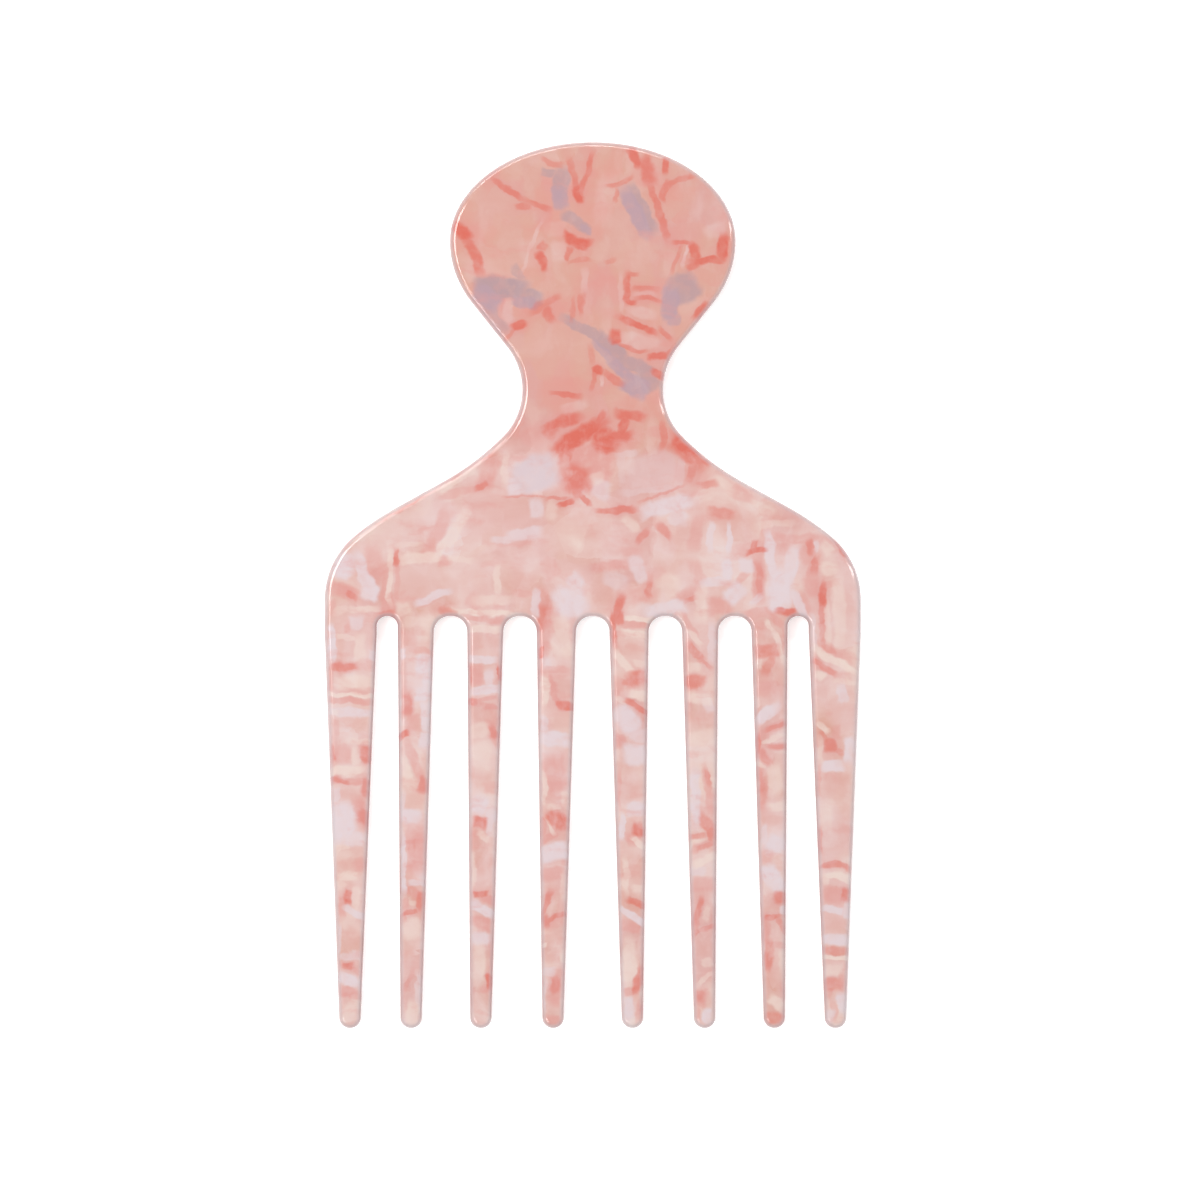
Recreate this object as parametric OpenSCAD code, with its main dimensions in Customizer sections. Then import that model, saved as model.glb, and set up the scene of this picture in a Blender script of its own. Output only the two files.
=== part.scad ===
// Wide-toothed pick comb, cut from one flat sheet and polished round along every edge.
// It lies on its back face. X runs across the teeth and Y from the tips to the grip.

/* [Sheet] */
// Thickness of the sheet that the comb is cut from
sheet_t = 4; // [3:0.1:6]
// Radius of the polished round along the edges
edge_r = 1; // [0.5:0.1:1.3]

/* [Teeth] */
// Length of the teeth, from their tips to the roots of the gaps
tooth_l = 67.4; // [50:0.2:90]
// Width of a tooth across its round tip
tip_w = 3.6; // [3:0.1:5]
// Width of an inner gap at its root
gap_w = 5.4; // [4.2:0.1:6.5]
// Width of the outermost gap on each side, at its root
outer_gap_w = 3.4; // [2.6:0.1:4.5]
// Radius in the corners of a gap's root
gap_corner_r = 2.5; // [1:0.1:3]
// Height of the gap roots above the line where the teeth start
root_h = 2.8; // [2.2:0.1:5]

/* [Shoulders] */
// Width of the comb over its outer teeth
body_w = 87.8; // [76:0.2:110]
// Straight stretch of each side above the gap roots
side_h = 2.7; // [1:0.1:8]
// Radius of the corner at the top of each side
corner_r = 13.6; // [8:0.2:20]
// Radius of the long bulge above that corner
shoulder_r = 47; // [30:1:60]
// Radius of the long hollow between the shoulder and the neck
flare_r = 44; // [30:1:60]
// Angle at which the corner passes into the bulge
corner_turn = 51; // [40:1:56]
// Angle of the shoulder's straight stretch, where it slopes most
shoulder_turn = 61; // [57:1:66]

/* [Grip] */
// Width of the waist between the grip and the shoulders
waist_w = 23.1; // [18:0.1:28]
// Radius of the neck below the waist
neck_r = 10.8; // [8:0.1:14]
// Angle at which the neck passes into the long hollow
neck_turn = 45; // [35:1:52]
// Radius of the neck above the waist
head_neck_r = 11.4; // [8:0.1:14]
// Slope of the grip's straight flanks
head_turn = 38.6; // [34:0.2:43]
// Width of the oval grip
head_w = 46.8; // [40:0.2:60]
// Height of the grip above its widest line
crown_h = 16.3; // [12:0.1:24]
// Height of the oval below its widest line, if it went on
bowl_h = 18.7; // [14:0.1:24]

/* [Hidden] */
// Greatest gap between a facet and the true curve
facet_sag = 0.02;
// Facets in the quarter round of an edge
edge_steps = 4;
// Middles of the tips and of the gaps from the centre line outwards, as shares of half the width
tip_shares = [0.148, 0.417, 0.677, 0.905];
gap_shares = [0, 0.271, 0.53, 0.766];
// Most that a round may take of the wall beside it
wall_share = 0.96;

TEETH = [
    "tooth_left_1", "tooth_left_2", "tooth_left_3", "guard_tooth_left",
    "tooth_right_1", "tooth_right_2", "tooth_right_3", "guard_tooth_right"
];

half_w = body_w / 2;
half_waist = waist_w / 2;
half_head = head_w / 2;
tip_r = tip_w / 2;
root_y = tooth_l - root_h;
corner_y = tooth_l + side_h;
edge = min(edge_r, wall_share * sheet_t / 2, wall_share * tip_r);
last = len(gap_shares) - 1;

// Unit vector at an angle.
function normal(angle) = [cos(angle), sin(angle)];

// How many facets a curve takes.
function facets(r, sweep) = max(2, ceil(abs(sweep) / (2 * acos(1 - facet_sag / abs(r)))));

// An outline point holds its place, and where it moves when the outline is drawn in by one unit.
function outline_point(place, inward) = [place.x, place.y, inward.x, inward.y];

// Points after p on a bend whose outward normal turns from one angle to another.
// A hollow has a positive radius and a bulge a negative one.
function bend(p, r, from, to) = let (n = facets(r, to - from)) [
    for (k = [1 : n])
        let (angle = from + (to - from) * k / n)
            outline_point(p + r * (normal(from) - normal(angle)), -normal(angle))
];

function end_of(points) = let (p = points[len(points) - 1]) [p.x, p.y];
function reversed(points) = [for (k = [len(points) - 1 : -1 : 0]) points[k]];
function mirrored(points) = [for (p = points) [-p[0], p[1], -p[2], p[3]]];

// Shoulder: how much width its curves take, and how far they shrink if the comb is too narrow.
neck_run = neck_r * (1 - cos(neck_turn));
flare_run = flare_r * (cos(neck_turn) - cos(shoulder_turn));
shoulder_run = shoulder_r * (cos(corner_turn) - cos(shoulder_turn));
corner_run = corner_r * (1 - cos(corner_turn));
curve_run = neck_run + flare_run + shoulder_run + corner_run;
fit = min(1, wall_share * (half_w - half_waist) / curve_run);
slope_run = half_w - half_waist - fit * curve_run;
curve_h = neck_r * sin(neck_turn) + flare_r * (sin(shoulder_turn) - sin(neck_turn))
    + shoulder_r * (sin(shoulder_turn) - sin(corner_turn)) + corner_r * sin(corner_turn);
waist_y = corner_y + fit * curve_h + slope_run / tan(shoulder_turn);

// Grip: the flank leaves the neck on a tangent and meets the oval on a tangent.
flank_t = atan(bowl_h / half_head * tan(head_turn));
flank_x = half_head * cos(flank_t);
head_bend_r = min(head_neck_r, wall_share * (flank_x - half_waist) / (1 - cos(head_turn)));
flank_run = flank_x - half_waist - head_bend_r * (1 - cos(head_turn));
head_y = waist_y + head_bend_r * sin(head_turn) + flank_run / tan(head_turn) + bowl_h * sin(flank_t);
overall_l = head_y + crown_h;

// Stretch of the oval between two of its own angles, for one height below or above the widest line.
function oval(height, from, to) = let (n = facets(half_head, to - from)) [
    for (k = [1 : n])
        let (t = from + (to - from) * k / n, out = [cos(t) / half_head, sin(t) / height])
            outline_point([half_head * cos(t), head_y + height * sin(t)], -out / norm(out))
];

// Right half of the grip's outline, from the waist to the crown.
grip_side = let (
    waist = outline_point([half_waist, waist_y], [-1, 0]),
    neck = bend([half_waist, waist_y], head_bend_r, 0, -head_turn),
    flank_end = outline_point([flank_x, head_y - bowl_h * sin(flank_t)], -normal(-head_turn)),
    bowl = oval(bowl_h, -flank_t, 0),
    crown = oval(crown_h, 0, 90)
) concat([waist], neck, [flank_end], bowl, crown);

// Right half of the shoulders' outline, from the waist to the straight side.
shoulder_side = let (
    waist = outline_point([half_waist, waist_y], [-1, 0]),
    neck = bend([half_waist, waist_y], fit * neck_r, 0, neck_turn),
    hollow = bend(end_of(neck), fit * flare_r, neck_turn, shoulder_turn),
    slope = slope_run * [1, -1 / tan(shoulder_turn)],
    slope_end = outline_point(end_of(hollow) + slope, -normal(shoulder_turn)),
    bulge = bend(end_of([slope_end]), -fit * shoulder_r, shoulder_turn, corner_turn),
    corner = bend(end_of(bulge), -fit * corner_r, corner_turn, 0)
) concat([waist], neck, hollow, [slope_end], bulge, corner);

// Width and middle of the gap at one place, where places left of the centre are negative.
function gap_width(place) = abs(place) == last ? outer_gap_w : gap_w;
function gap_x(place) = sign(place) * gap_shares[abs(place)] * half_w;

// Radius in the corners of one gap's root.
function gap_r(place) = min(gap_corner_r, wall_share * gap_width(place) / 2, wall_share * root_h);

// Left half of the round root of one gap, from the line where the teeth start to the gap's top.
function gap_rise(place) = let (
    r = gap_r(place),
    left = gap_x(place) - gap_width(place) / 2
) concat(
    [outline_point([left, root_y], [-1, 0]), outline_point([left, tooth_l - r], [-1, 0])],
    bend([left, tooth_l - r], r, 0, -90)
);

// Right half of it, from the gap's top back down to that line.
function gap_fall(place) = let (
    r = gap_r(place),
    right = gap_x(place) + gap_width(place) / 2
) concat(
    [outline_point([right - r, tooth_l], [0, 1])],
    bend([right - r, tooth_l], r, -90, -180),
    [outline_point([right, root_y], [1, 0])]
);

// Walls left and right of the tooth that follows a place, where place -last - 1 has the leftmost tooth.
function root_walls(place) = [
    place < -last ? -half_w : gap_x(place) + gap_width(place) / 2,
    place == last ? half_w : gap_x(place + 1) - gap_width(place + 1) / 2
];

// Lower edge of the shoulder plate over each tooth, from gap top to gap top, and all of them in one row.
lands = [
    for (place = [-last - 1 : last]) concat(
        place < -last ? [outline_point([-half_w, root_y], [1, 0])] : gap_fall(place),
        place == last ? [outline_point([half_w, root_y], [-1, 0])] : gap_rise(place + 1)
    )
];
plate_foot = [for (land = lands, p = land) p];
plate_crest = concat(reversed(mirrored(shoulder_side)), shoulder_side);

// Hubs inside the plate's flat: one over each tooth, just above the gaps, and one on the centre line.
hubs = concat(
    [for (place = [-last - 1 : last]) let (walls = root_walls(place)) [(walls[0] + walls[1]) / 2, tooth_l + 2 * edge]],
    [[0, (corner_y + waist_y) / 2]]
);

// Triangles of the plate's flat: fans round the hubs, where each hub counts on from the outline's points.
plate_flat = let (
    foot = len(plate_foot),
    ring = foot + len(plate_crest),
    count = len(lands),
    middle = ring + count,
    starts = [for (k = 0, at = 0; k < count; at = at + len(lands[k]), k = k + 1) at]
) concat(
    [for (k = [0 : count - 1], i = [1 : len(lands[k]) - 1]) [starts[k] + i - 1, starts[k] + i, ring + k]],
    [
        for (k = [1 : count - 1]) let (gap = starts[k])
            each [[gap - 1, gap, ring + k], [gap - 1, ring + k, ring + k - 1], [ring + k - 1, ring + k, middle]]
    ],
    [[0, ring, ring - 1], [ring - 1, ring, middle]],
    [[foot - 1, foot, middle - 1], [middle - 1, foot, middle]],
    [for (i = [foot : ring - 2]) [i, i + 1, middle]]
);

// One side of a tooth from the middle of its tip to its root. The side is 1 for right, -1 for left.
function tooth_side(tip, root, side) = let (
    reach = root - tip,
    start = side > 0 ? -90 : 270,
    lean = atan2(reach.y, reach.x) - side * acos(tip_r / norm(reach))
) concat(
    bend(tip + tip_r * normal(start), -tip_r, start, lean),
    [outline_point(root, [-side, 0])]
);

// Triangles of a flat face between a right and a left chain of points that both run up.
// Each step goes on along the chain whose next point is lower.
function stitch(a, b, i = 0, j = 0) = let (
    more_a = i < len(a) - 1,
    more_b = j < len(b) - 1,
    b_index = len(a) + len(b) - 1 - j
)
    !more_a && !more_b ? []
    : more_a && (!more_b || a[i + 1].y <= b[j + 1].y)
        ? concat([[i, i + 1, b_index]], stitch(a, b, i + 1, j))
        : concat([[i, b_index - 1, b_index]], stitch(a, b, i, j + 1));

// Insets and heights of the rings, up one rounded edge and on up the other.
edge_rings = [
    for (k = [edge_steps : -1 : 0]) let (t = 90 * k / edge_steps) [edge * (1 - cos(t)), edge * (1 - sin(t))],
    for (k = [0 : edge_steps]) let (t = 90 * k / edge_steps) [edge * (1 - cos(t)), sheet_t - edge * (1 - sin(t))]
];

// Piece of the sheet within a closed ring of outline points, with rounded edges.
// Its flats have the given triangles, which may use hubs inside the ring.
module rounded_sheet(ring, flat, hubs = []) {
    n = len(ring);
    last_ring = n * (len(edge_rings) - 1);
    inner = n * len(edge_rings);
    points = concat(
        [for (level = edge_rings, p = ring) [p[0] + level[0] * p[2], p[1] + level[0] * p[3], level[1]]],
        [for (z = [0, sheet_t], hub = hubs) [hub.x, hub.y, z]]
    );
    back = [for (f = flat) [for (v = f) v < n ? v : inner + v - n]];
    front = [for (f = flat) [for (v = reversed(f)) v < n ? last_ring + v : inner + len(hubs) + v - n]];
    walls = [
        for (j = [0 : len(edge_rings) - 2], i = [0 : n - 1])
            let (low = j * n + i, low_next = j * n + (i + 1) % n)
                each [[low, low + n, low_next + n], [low, low_next + n, low_next]]
    ];
    translate([0, -overall_l / 2, 0]) polyhedron(points, concat(back, walls, front), convexity = 10);
}

// Piece between a right and a left chain that both run up.
module rounded_strip(a, b) {
    rounded_sheet(concat(a, reversed(b)), stitch(a, b));
}

module grip_head() {
    color("#E2ADA2") rounded_strip([for (k = [0 : len(grip_side) - 2]) grip_side[k]], mirrored(grip_side));
}

module shoulder_plate() {
    color("#E8C0BA") rounded_sheet(concat(plate_foot, reversed(plate_crest)), plate_flat, hubs);
}

// The teeth count outwards from the centre line. The fourth on each side is the broad guard tooth.
module tooth(index) {
    count = len(tip_shares);
    k = index % count;
    side = index < count ? -1 : 1;
    walls = root_walls(side < 0 ? -k - 1 : k);
    tip = [side * tip_shares[k] * half_w, tip_r];
    right = tooth_side(tip, [walls[1], root_y], 1);
    left = tooth_side(tip, [walls[0], root_y], -1);
    color("#EBC8C4") rounded_strip(concat([outline_point(tip - [0, tip_r], [0, 1])], right), left);
}

grip_head();
shoulder_plate();
for (index = [0 : len(TEETH) - 1]) tooth(index);
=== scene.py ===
"""Wide-toothed pick comb of marbled acetate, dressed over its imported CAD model.

The row frame is in metres. X runs across the teeth, Y from the tips to the grip's crown, and Z out of the
front face. The real comb is one sheet, so its ten pieces share one finish and meet on the same points.
"""

import bpy
import numpy as np
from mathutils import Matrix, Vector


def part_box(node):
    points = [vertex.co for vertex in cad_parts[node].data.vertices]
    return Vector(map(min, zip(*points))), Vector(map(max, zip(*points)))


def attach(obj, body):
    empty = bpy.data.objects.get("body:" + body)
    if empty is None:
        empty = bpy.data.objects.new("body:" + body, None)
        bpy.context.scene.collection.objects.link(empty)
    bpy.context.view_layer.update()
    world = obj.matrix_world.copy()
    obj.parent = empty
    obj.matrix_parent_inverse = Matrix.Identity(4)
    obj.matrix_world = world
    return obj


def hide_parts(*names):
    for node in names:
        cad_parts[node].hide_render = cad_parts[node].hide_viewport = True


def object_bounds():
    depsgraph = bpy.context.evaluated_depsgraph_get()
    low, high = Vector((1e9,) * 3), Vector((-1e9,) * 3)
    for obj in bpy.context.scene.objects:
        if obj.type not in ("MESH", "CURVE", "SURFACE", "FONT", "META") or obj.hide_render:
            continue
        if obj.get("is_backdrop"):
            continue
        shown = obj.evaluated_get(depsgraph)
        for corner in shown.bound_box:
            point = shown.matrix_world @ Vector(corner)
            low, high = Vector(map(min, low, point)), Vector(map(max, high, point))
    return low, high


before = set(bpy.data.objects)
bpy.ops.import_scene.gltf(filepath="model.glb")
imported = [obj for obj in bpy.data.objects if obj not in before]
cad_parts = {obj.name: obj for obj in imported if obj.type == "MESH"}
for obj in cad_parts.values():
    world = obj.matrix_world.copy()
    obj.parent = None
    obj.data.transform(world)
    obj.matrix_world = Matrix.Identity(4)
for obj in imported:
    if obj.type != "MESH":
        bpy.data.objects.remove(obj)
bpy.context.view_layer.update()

bl_info = {
    "name": "Marbled Pick Comb",
    "version": (1, 0, 0),
    "blender": (4, 5, 0),
    "location": "View3D > Sidebar > Pick Comb",
    "description": "Builds a wide-toothed pick comb, its marbled acetate and a plain pale stage",
    "category": "Object",
}

BODY = "root"
FINISH = "polished_marbled_acetate"
RIM = "rim"
MILLIMETRES = 1000.0

# Chord error of the curves along the outline, steps over a quarter of the rounded edge, and the longest
# straight step, so that no face on the flat is very thin.
SAG = 0.000001
EDGE_STEPS = 12
STRAIGHT_STEP = 0.004
# Middles of the tips and of the gaps from the centre line outwards, as shares of half the width.
TIP_SHARES = (0.148, 0.417, 0.677, 0.905)
GAP_SHARES = (0.0, 0.271, 0.53, 0.766)
OUTER = len(GAP_SHARES) - 1
# Most that a round may take of the wall beside it.
WALL_SHARE = 0.96
# Most that the outline may miss the frame by.
FIT_LIMIT = 0.0002
INNER_TEETH = (
    "tooth_left_1", "tooth_left_2", "tooth_left_3", "tooth_right_1", "tooth_right_2", "tooth_right_3")
GUARD_TEETH = ("guard_tooth_left", "guard_tooth_right")


def shown(red, green, blue):
    """Linear colour of a tint as a screen shows it: the sRGB curve undone on each of its three parts."""
    part = np.array([red, green, blue]) / 255.0
    return tuple(np.where(part <= 0.04045, part / 12.92, ((part + 0.055) / 1.055) ** 2.4))


def tint_property(name, description, red, green, blue):
    """Colour property whose default is one tint."""
    return bpy.props.FloatVectorProperty(
        name=name, description=description, subtype="COLOR", size=3, min=0.0, max=1.0,
        default=shown(red, green, blue))


def length_property(name, description, default):
    """Length property in metres."""
    return bpy.props.FloatProperty(
        name=name, description=description, default=default, min=0.0, unit="LENGTH")


def power_property(name, description, default):
    """Lamp power property in watts."""
    return bpy.props.FloatProperty(
        name=name, description=description, default=default, min=0.0, unit="POWER")


def angle_property(name, description, degrees):
    """Angle property, given in degrees and kept in radians."""
    return bpy.props.FloatProperty(
        name=name, description=description, default=np.radians(degrees), subtype="ANGLE", unit="ROTATION")


class CombSizes(bpy.types.PropertyGroup):
    """Driving sizes of the outline, the same as the solid model's."""

    tooth_length: length_property("Tooth length", "From the tips to the roots of the gaps", 0.0674)
    tip_width: length_property("Tip width", "Width of a tooth across its round tip", 0.0036)
    gap_width: length_property("Gap width", "Width of an inner gap at its root", 0.0054)
    outer_gap_width: length_property("Outer gap width", "Width of the outermost gaps at their roots", 0.0034)
    gap_corner: length_property("Gap corner", "Radius in the corners of a gap's root", 0.0025)
    root_height: length_property("Root height", "Height of the gap roots above the line of the teeth", 0.0028)
    side_height: length_property("Side height", "Straight stretch of each side above the gap roots", 0.0027)
    corner_radius: length_property("Corner radius", "Radius at the top of each side", 0.0136)
    shoulder_radius: length_property("Shoulder radius", "Radius of the long bulge above the corner", 0.047)
    flare_radius: length_property("Flare radius", "Radius of the hollow between shoulder and neck", 0.044)
    neck_radius: length_property("Neck radius", "Radius of the neck below the waist", 0.0108)
    waist_width: length_property("Waist width", "Width between the grip and the shoulders", 0.0231)
    head_neck_radius: length_property("Head neck radius", "Radius of the neck above the waist", 0.0114)
    crown_height: length_property("Crown height", "Height of the grip above its widest line", 0.0163)
    bowl_height: length_property("Bowl height", "Height of the whole oval below its widest line", 0.0187)
    edge_radius: length_property("Edge radius", "Radius of the polished round along the edges", 0.001)
    corner_turn: angle_property("Corner turn", "Angle at which the corner passes into the bulge", 51)
    shoulder_turn: angle_property("Shoulder turn", "Angle of the shoulder's straight stretch", 61)
    neck_turn: angle_property("Neck turn", "Angle at which the neck passes into the hollow", 45)
    head_turn: angle_property("Head turn", "Slope of the grip's straight flanks", 38.6)


class AcetateTints(bpy.types.PropertyGroup):
    """Tints and polish of the marbled acetate."""

    coral: tint_property("Coral", "Deepest marks", 224, 105, 87)
    salmon: tint_property("Salmon", "Deep cool chips", 227, 155, 147)
    terracotta: tint_property("Terracotta", "Deep warm chips", 227, 157, 144)
    blush: tint_property("Blush", "Middling chips", 226, 171, 161)
    rose: tint_property("Rose", "Cool body of the grip", 222, 168, 161)
    peach: tint_property("Peach", "Warm body of the grip", 223, 169, 154)
    petal: tint_property("Petal", "Cool body of the shoulders and teeth", 231, 191, 186)
    biscuit: tint_property("Biscuit", "Warm body of the shoulders and teeth", 231, 193, 184)
    shell: tint_property("Shell", "Pale cool chips", 234, 205, 202)
    pearl: tint_property("Pearl", "Palest cool windows", 231, 214, 218)
    cream: tint_property("Cream", "Palest warm windows and streaks", 240, 219, 209)
    mauve: tint_property("Mauve", "Rare dusky chips in the grip", 189, 156, 160)
    lilac: tint_property("Lilac", "Rare cool chips in the grip", 191, 158, 168)
    # Painted shade: a darker, greyer tint that the rounded edges are mixed toward, standing in for the shade
    # along them.
    rim: tint_property("Rim", "What the sheet's edges lean to", 192, 178, 184)
    roughness: bpy.props.FloatProperty(
        name="Roughness", description="Roughness of the polish", default=0.09, min=0.0, max=1.0,
        subtype="FACTOR")


class StageLevels(bpy.types.PropertyGroup):
    """Levels of the plain studio light."""

    key: power_property("Key", "Power of the high lamp on the left", 3.0)
    fill: power_property("Fill", "Power of the broad lamp", 1.9)
    crown: power_property("Crown", "Power of the narrow lamp beyond the grip", 4.2)
    side: power_property("Side", "Power of the narrow lamp on the lower left", 1.7)
    strip: power_property("Strip", "Power of the narrow lamp on the right", 1.4)
    sky: bpy.props.FloatProperty(name="Sky", description="Light from all round", default=0.3, min=0.0)
    floor: tint_property("Floor", "Colour of the floor", 244, 244, 244)


# Outline. A run is an array of rows x, y, facing x, facing y, where facing is the outline's unit normal.

def facing(turn):
    """Unit vectors at the given angles: cosine and sine of each."""
    return np.stack([np.cos(turn), np.sin(turn)], axis=-1)


def steps(radius, sweep):
    """Number of chords on a curve, from the angle whose chord lies SAG inside the circle."""
    return max(2, int(np.ceil(abs(sweep) / (2 * np.arccos(1 - SAG / abs(radius))))))


def run(places, facings):
    """Places and facings side by side, as one run."""
    return np.hstack([places, facings])


def straight(start, end, turn):
    """Straight run: start plus a share of the way to end, every point facing the same angle."""
    start, end = np.array(start), np.array(end)
    count = int(np.ceil(np.linalg.norm(end - start) / STRAIGHT_STEP)) + 1
    share = np.linspace(0, 1, max(count, 2))[:, None]
    return run(start + share * (end - start), np.broadcast_to(facing(turn), (len(share), 2)))


def bend(start, radius, first, last):
    """Bend: start + radius (n(first) - n(turn)), as turn goes from first to last and n is the unit vector at
    a turn. A bulge has a negative radius."""
    turn = np.linspace(first, last, steps(radius, last - first) + 1)
    return run(start + radius * (facing(first) - facing(turn)), facing(turn))


def oval(half_width, height, middle, first, last):
    """Stretch of an ellipse: (half width cos t, middle + height sin t), facing along its gradient."""
    t = np.linspace(first, last, steps(half_width, last - first) + 1)
    out = np.stack([np.cos(t) / half_width, np.sin(t) / height], axis=-1)
    out /= np.linalg.norm(out, axis=1, keepdims=True)
    return run(np.stack([half_width * np.cos(t), middle + height * np.sin(t)], axis=-1), out)


def joined(*runs):
    """Runs one after the other. Each starts where the last one ended, so its first row is left out."""
    return np.vstack([runs[0]] + [part[1:] for part in runs[1:]])


def mirrored(part):
    """The same run on the other side of the centre line."""
    return part * np.array([-1, 1, -1, 1])


class Outline:
    """Worked-out places of the outline, with the tips' lowest line at y = 0."""

    def __init__(self, sizes):
        low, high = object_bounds()
        box_low, box_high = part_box("shoulder_plate")
        grip_low, grip_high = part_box("grip_head")
        self.sizes = sizes
        self.foot = low.y
        self.thickness = high.z - low.z
        self.half_width = (box_high.x - box_low.x) / 2
        self.half_head = (grip_high.x - grip_low.x) / 2
        self.half_waist = sizes.waist_width / 2
        self.tip_radius = sizes.tip_width / 2
        self.root_y = sizes.tooth_length - sizes.root_height
        self.edge = min(sizes.edge_radius, WALL_SHARE * self.thickness / 2, WALL_SHARE * self.tip_radius)
        self.shoulder = self.shoulder_side()
        self.waist_y = self.shoulder[0, 1]
        self.grip = self.grip_side()
        if abs(self.grip[-1, 1] + self.foot - high.y) > FIT_LIMIT:
            raise RuntimeError("the outline's sizes don't reach the crown of the packed comb")

    def shoulder_side(self):
        """Right shoulder from the waist to the side: neck, hollow, slope, bulge and corner, all tangent."""
        s = self.sizes
        neck, slope, corner = s.neck_turn, s.shoulder_turn, s.corner_turn
        width = (s.neck_radius * (1 - np.cos(neck)) + s.flare_radius * (np.cos(neck) - np.cos(slope))
                 + s.shoulder_radius * (np.cos(corner) - np.cos(slope))
                 + s.corner_radius * (1 - np.cos(corner)))
        room = self.half_width - self.half_waist
        fit = min(1, WALL_SHARE * room / width)
        slope_width = room - fit * width
        height = (s.neck_radius * np.sin(neck) + s.flare_radius * (np.sin(slope) - np.sin(neck))
                  + s.shoulder_radius * (np.sin(slope) - np.sin(corner)) + s.corner_radius * np.sin(corner))
        waist_y = s.tooth_length + s.side_height + fit * height + slope_width / np.tan(slope)
        first = bend(np.array([self.half_waist, waist_y]), fit * s.neck_radius, 0, neck)
        hollow = bend(first[-1, :2], fit * s.flare_radius, neck, slope)
        slope_step = slope_width * np.array([1, -1 / np.tan(slope)])
        ramp = straight(hollow[-1, :2], hollow[-1, :2] + slope_step, slope)
        bulge = bend(ramp[-1, :2], -fit * s.shoulder_radius, slope, corner)
        return joined(first, hollow, ramp, bulge, bend(bulge[-1, :2], -fit * s.corner_radius, corner, 0))

    def grip_side(self):
        """Right side of the grip from the waist to the crown: neck, flank, bowl and crown, all tangent."""
        s = self.sizes
        flank = np.arctan(s.bowl_height / self.half_head * np.tan(s.head_turn))
        flank_x = self.half_head * np.cos(flank)
        radius = min(s.head_neck_radius, WALL_SHARE * (flank_x - self.half_waist) / (1 - np.cos(s.head_turn)))
        neck = bend(np.array([self.half_waist, self.waist_y]), radius, 0, -s.head_turn)
        rise = (flank_x - neck[-1, 0]) / np.tan(s.head_turn)
        flank_end = np.array([flank_x, neck[-1, 1] + rise])
        middle = flank_end[1] + s.bowl_height * np.sin(flank)
        return joined(
            neck, straight(neck[-1, :2], flank_end, -s.head_turn),
            oval(self.half_head, s.bowl_height, middle, -flank, 0),
            oval(self.half_head, s.crown_height, middle, 0, np.pi / 2))

    def gap_walls(self, place):
        """X of a gap's walls at its root. Places count from the middle, negative to the left."""
        width = self.sizes.outer_gap_width if abs(place) == OUTER else self.sizes.gap_width
        middle = np.sign(place) * GAP_SHARES[abs(place)] * self.half_width
        return middle - width / 2, middle + width / 2

    def gap_root(self, place):
        """Round root of one gap: wall, quarter bend, level, quarter bend, wall, all facing into the gap."""
        s = self.sizes
        left, right = self.gap_walls(place)
        radius = min(s.gap_corner, WALL_SHARE * (right - left) / 2, WALL_SHARE * s.root_height)
        shoulder = s.tooth_length - radius
        return joined(
            straight([left, self.root_y], [left, shoulder], 0),
            bend(np.array([left, shoulder]), radius, 0, -np.pi / 2),
            straight([left + radius, s.tooth_length], [right - radius, s.tooth_length], -np.pi / 2),
            bend(np.array([right - radius, s.tooth_length]), radius, -np.pi / 2, -np.pi),
            straight([right, shoulder], [right, self.root_y], np.pi))

    def plate_foot(self):
        """Lower edge of the shoulders from left to right, through the roots of all the gaps."""
        ends = [run(np.array([[x, self.root_y]]), facing(np.array([turn])))
                for x, turn in ((-self.half_width, np.pi), (self.half_width, 0))]
        roots = [self.gap_root(place) for place in range(-OUTER, OUTER + 1)]
        return np.vstack([ends[0]] + roots + [ends[1]])

    def tooth_side(self, tip, root, side):
        """One side of a tooth: round the tip until the line to the root is tangent, then straight to it."""
        reach = root - tip
        first = -np.pi / 2 if side > 0 else 3 * np.pi / 2
        lean = np.arctan2(reach[1], reach[0]) - side * np.arccos(self.tip_radius / np.linalg.norm(reach))
        tip_run = bend(tip + self.tip_radius * facing(first), -self.tip_radius, first, lean)
        flank = straight(tip_run[-1, :2], root, lean)
        flank[-1, 2:] = [side, 0]
        return joined(tip_run, flank)

    def tooth(self, index, side):
        """Right and left sides of a tooth, both from its tip to its root."""
        walls = [self.gap_walls(side * index), self.gap_walls(side * (index + 1)) if index < OUTER else None]
        inner = walls[0][1] if side > 0 else walls[0][0]
        outer = side * self.half_width if walls[1] is None else (walls[1][0] if side > 0 else walls[1][1])
        tip = np.array([side * TIP_SHARES[index] * self.half_width, self.tip_radius])
        right = self.tooth_side(tip, np.array([max(inner, outer), self.root_y]), 1)
        left = self.tooth_side(tip, np.array([min(inner, outer), self.root_y]), -1)
        return right, left[1:]


# Solid pieces

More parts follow.
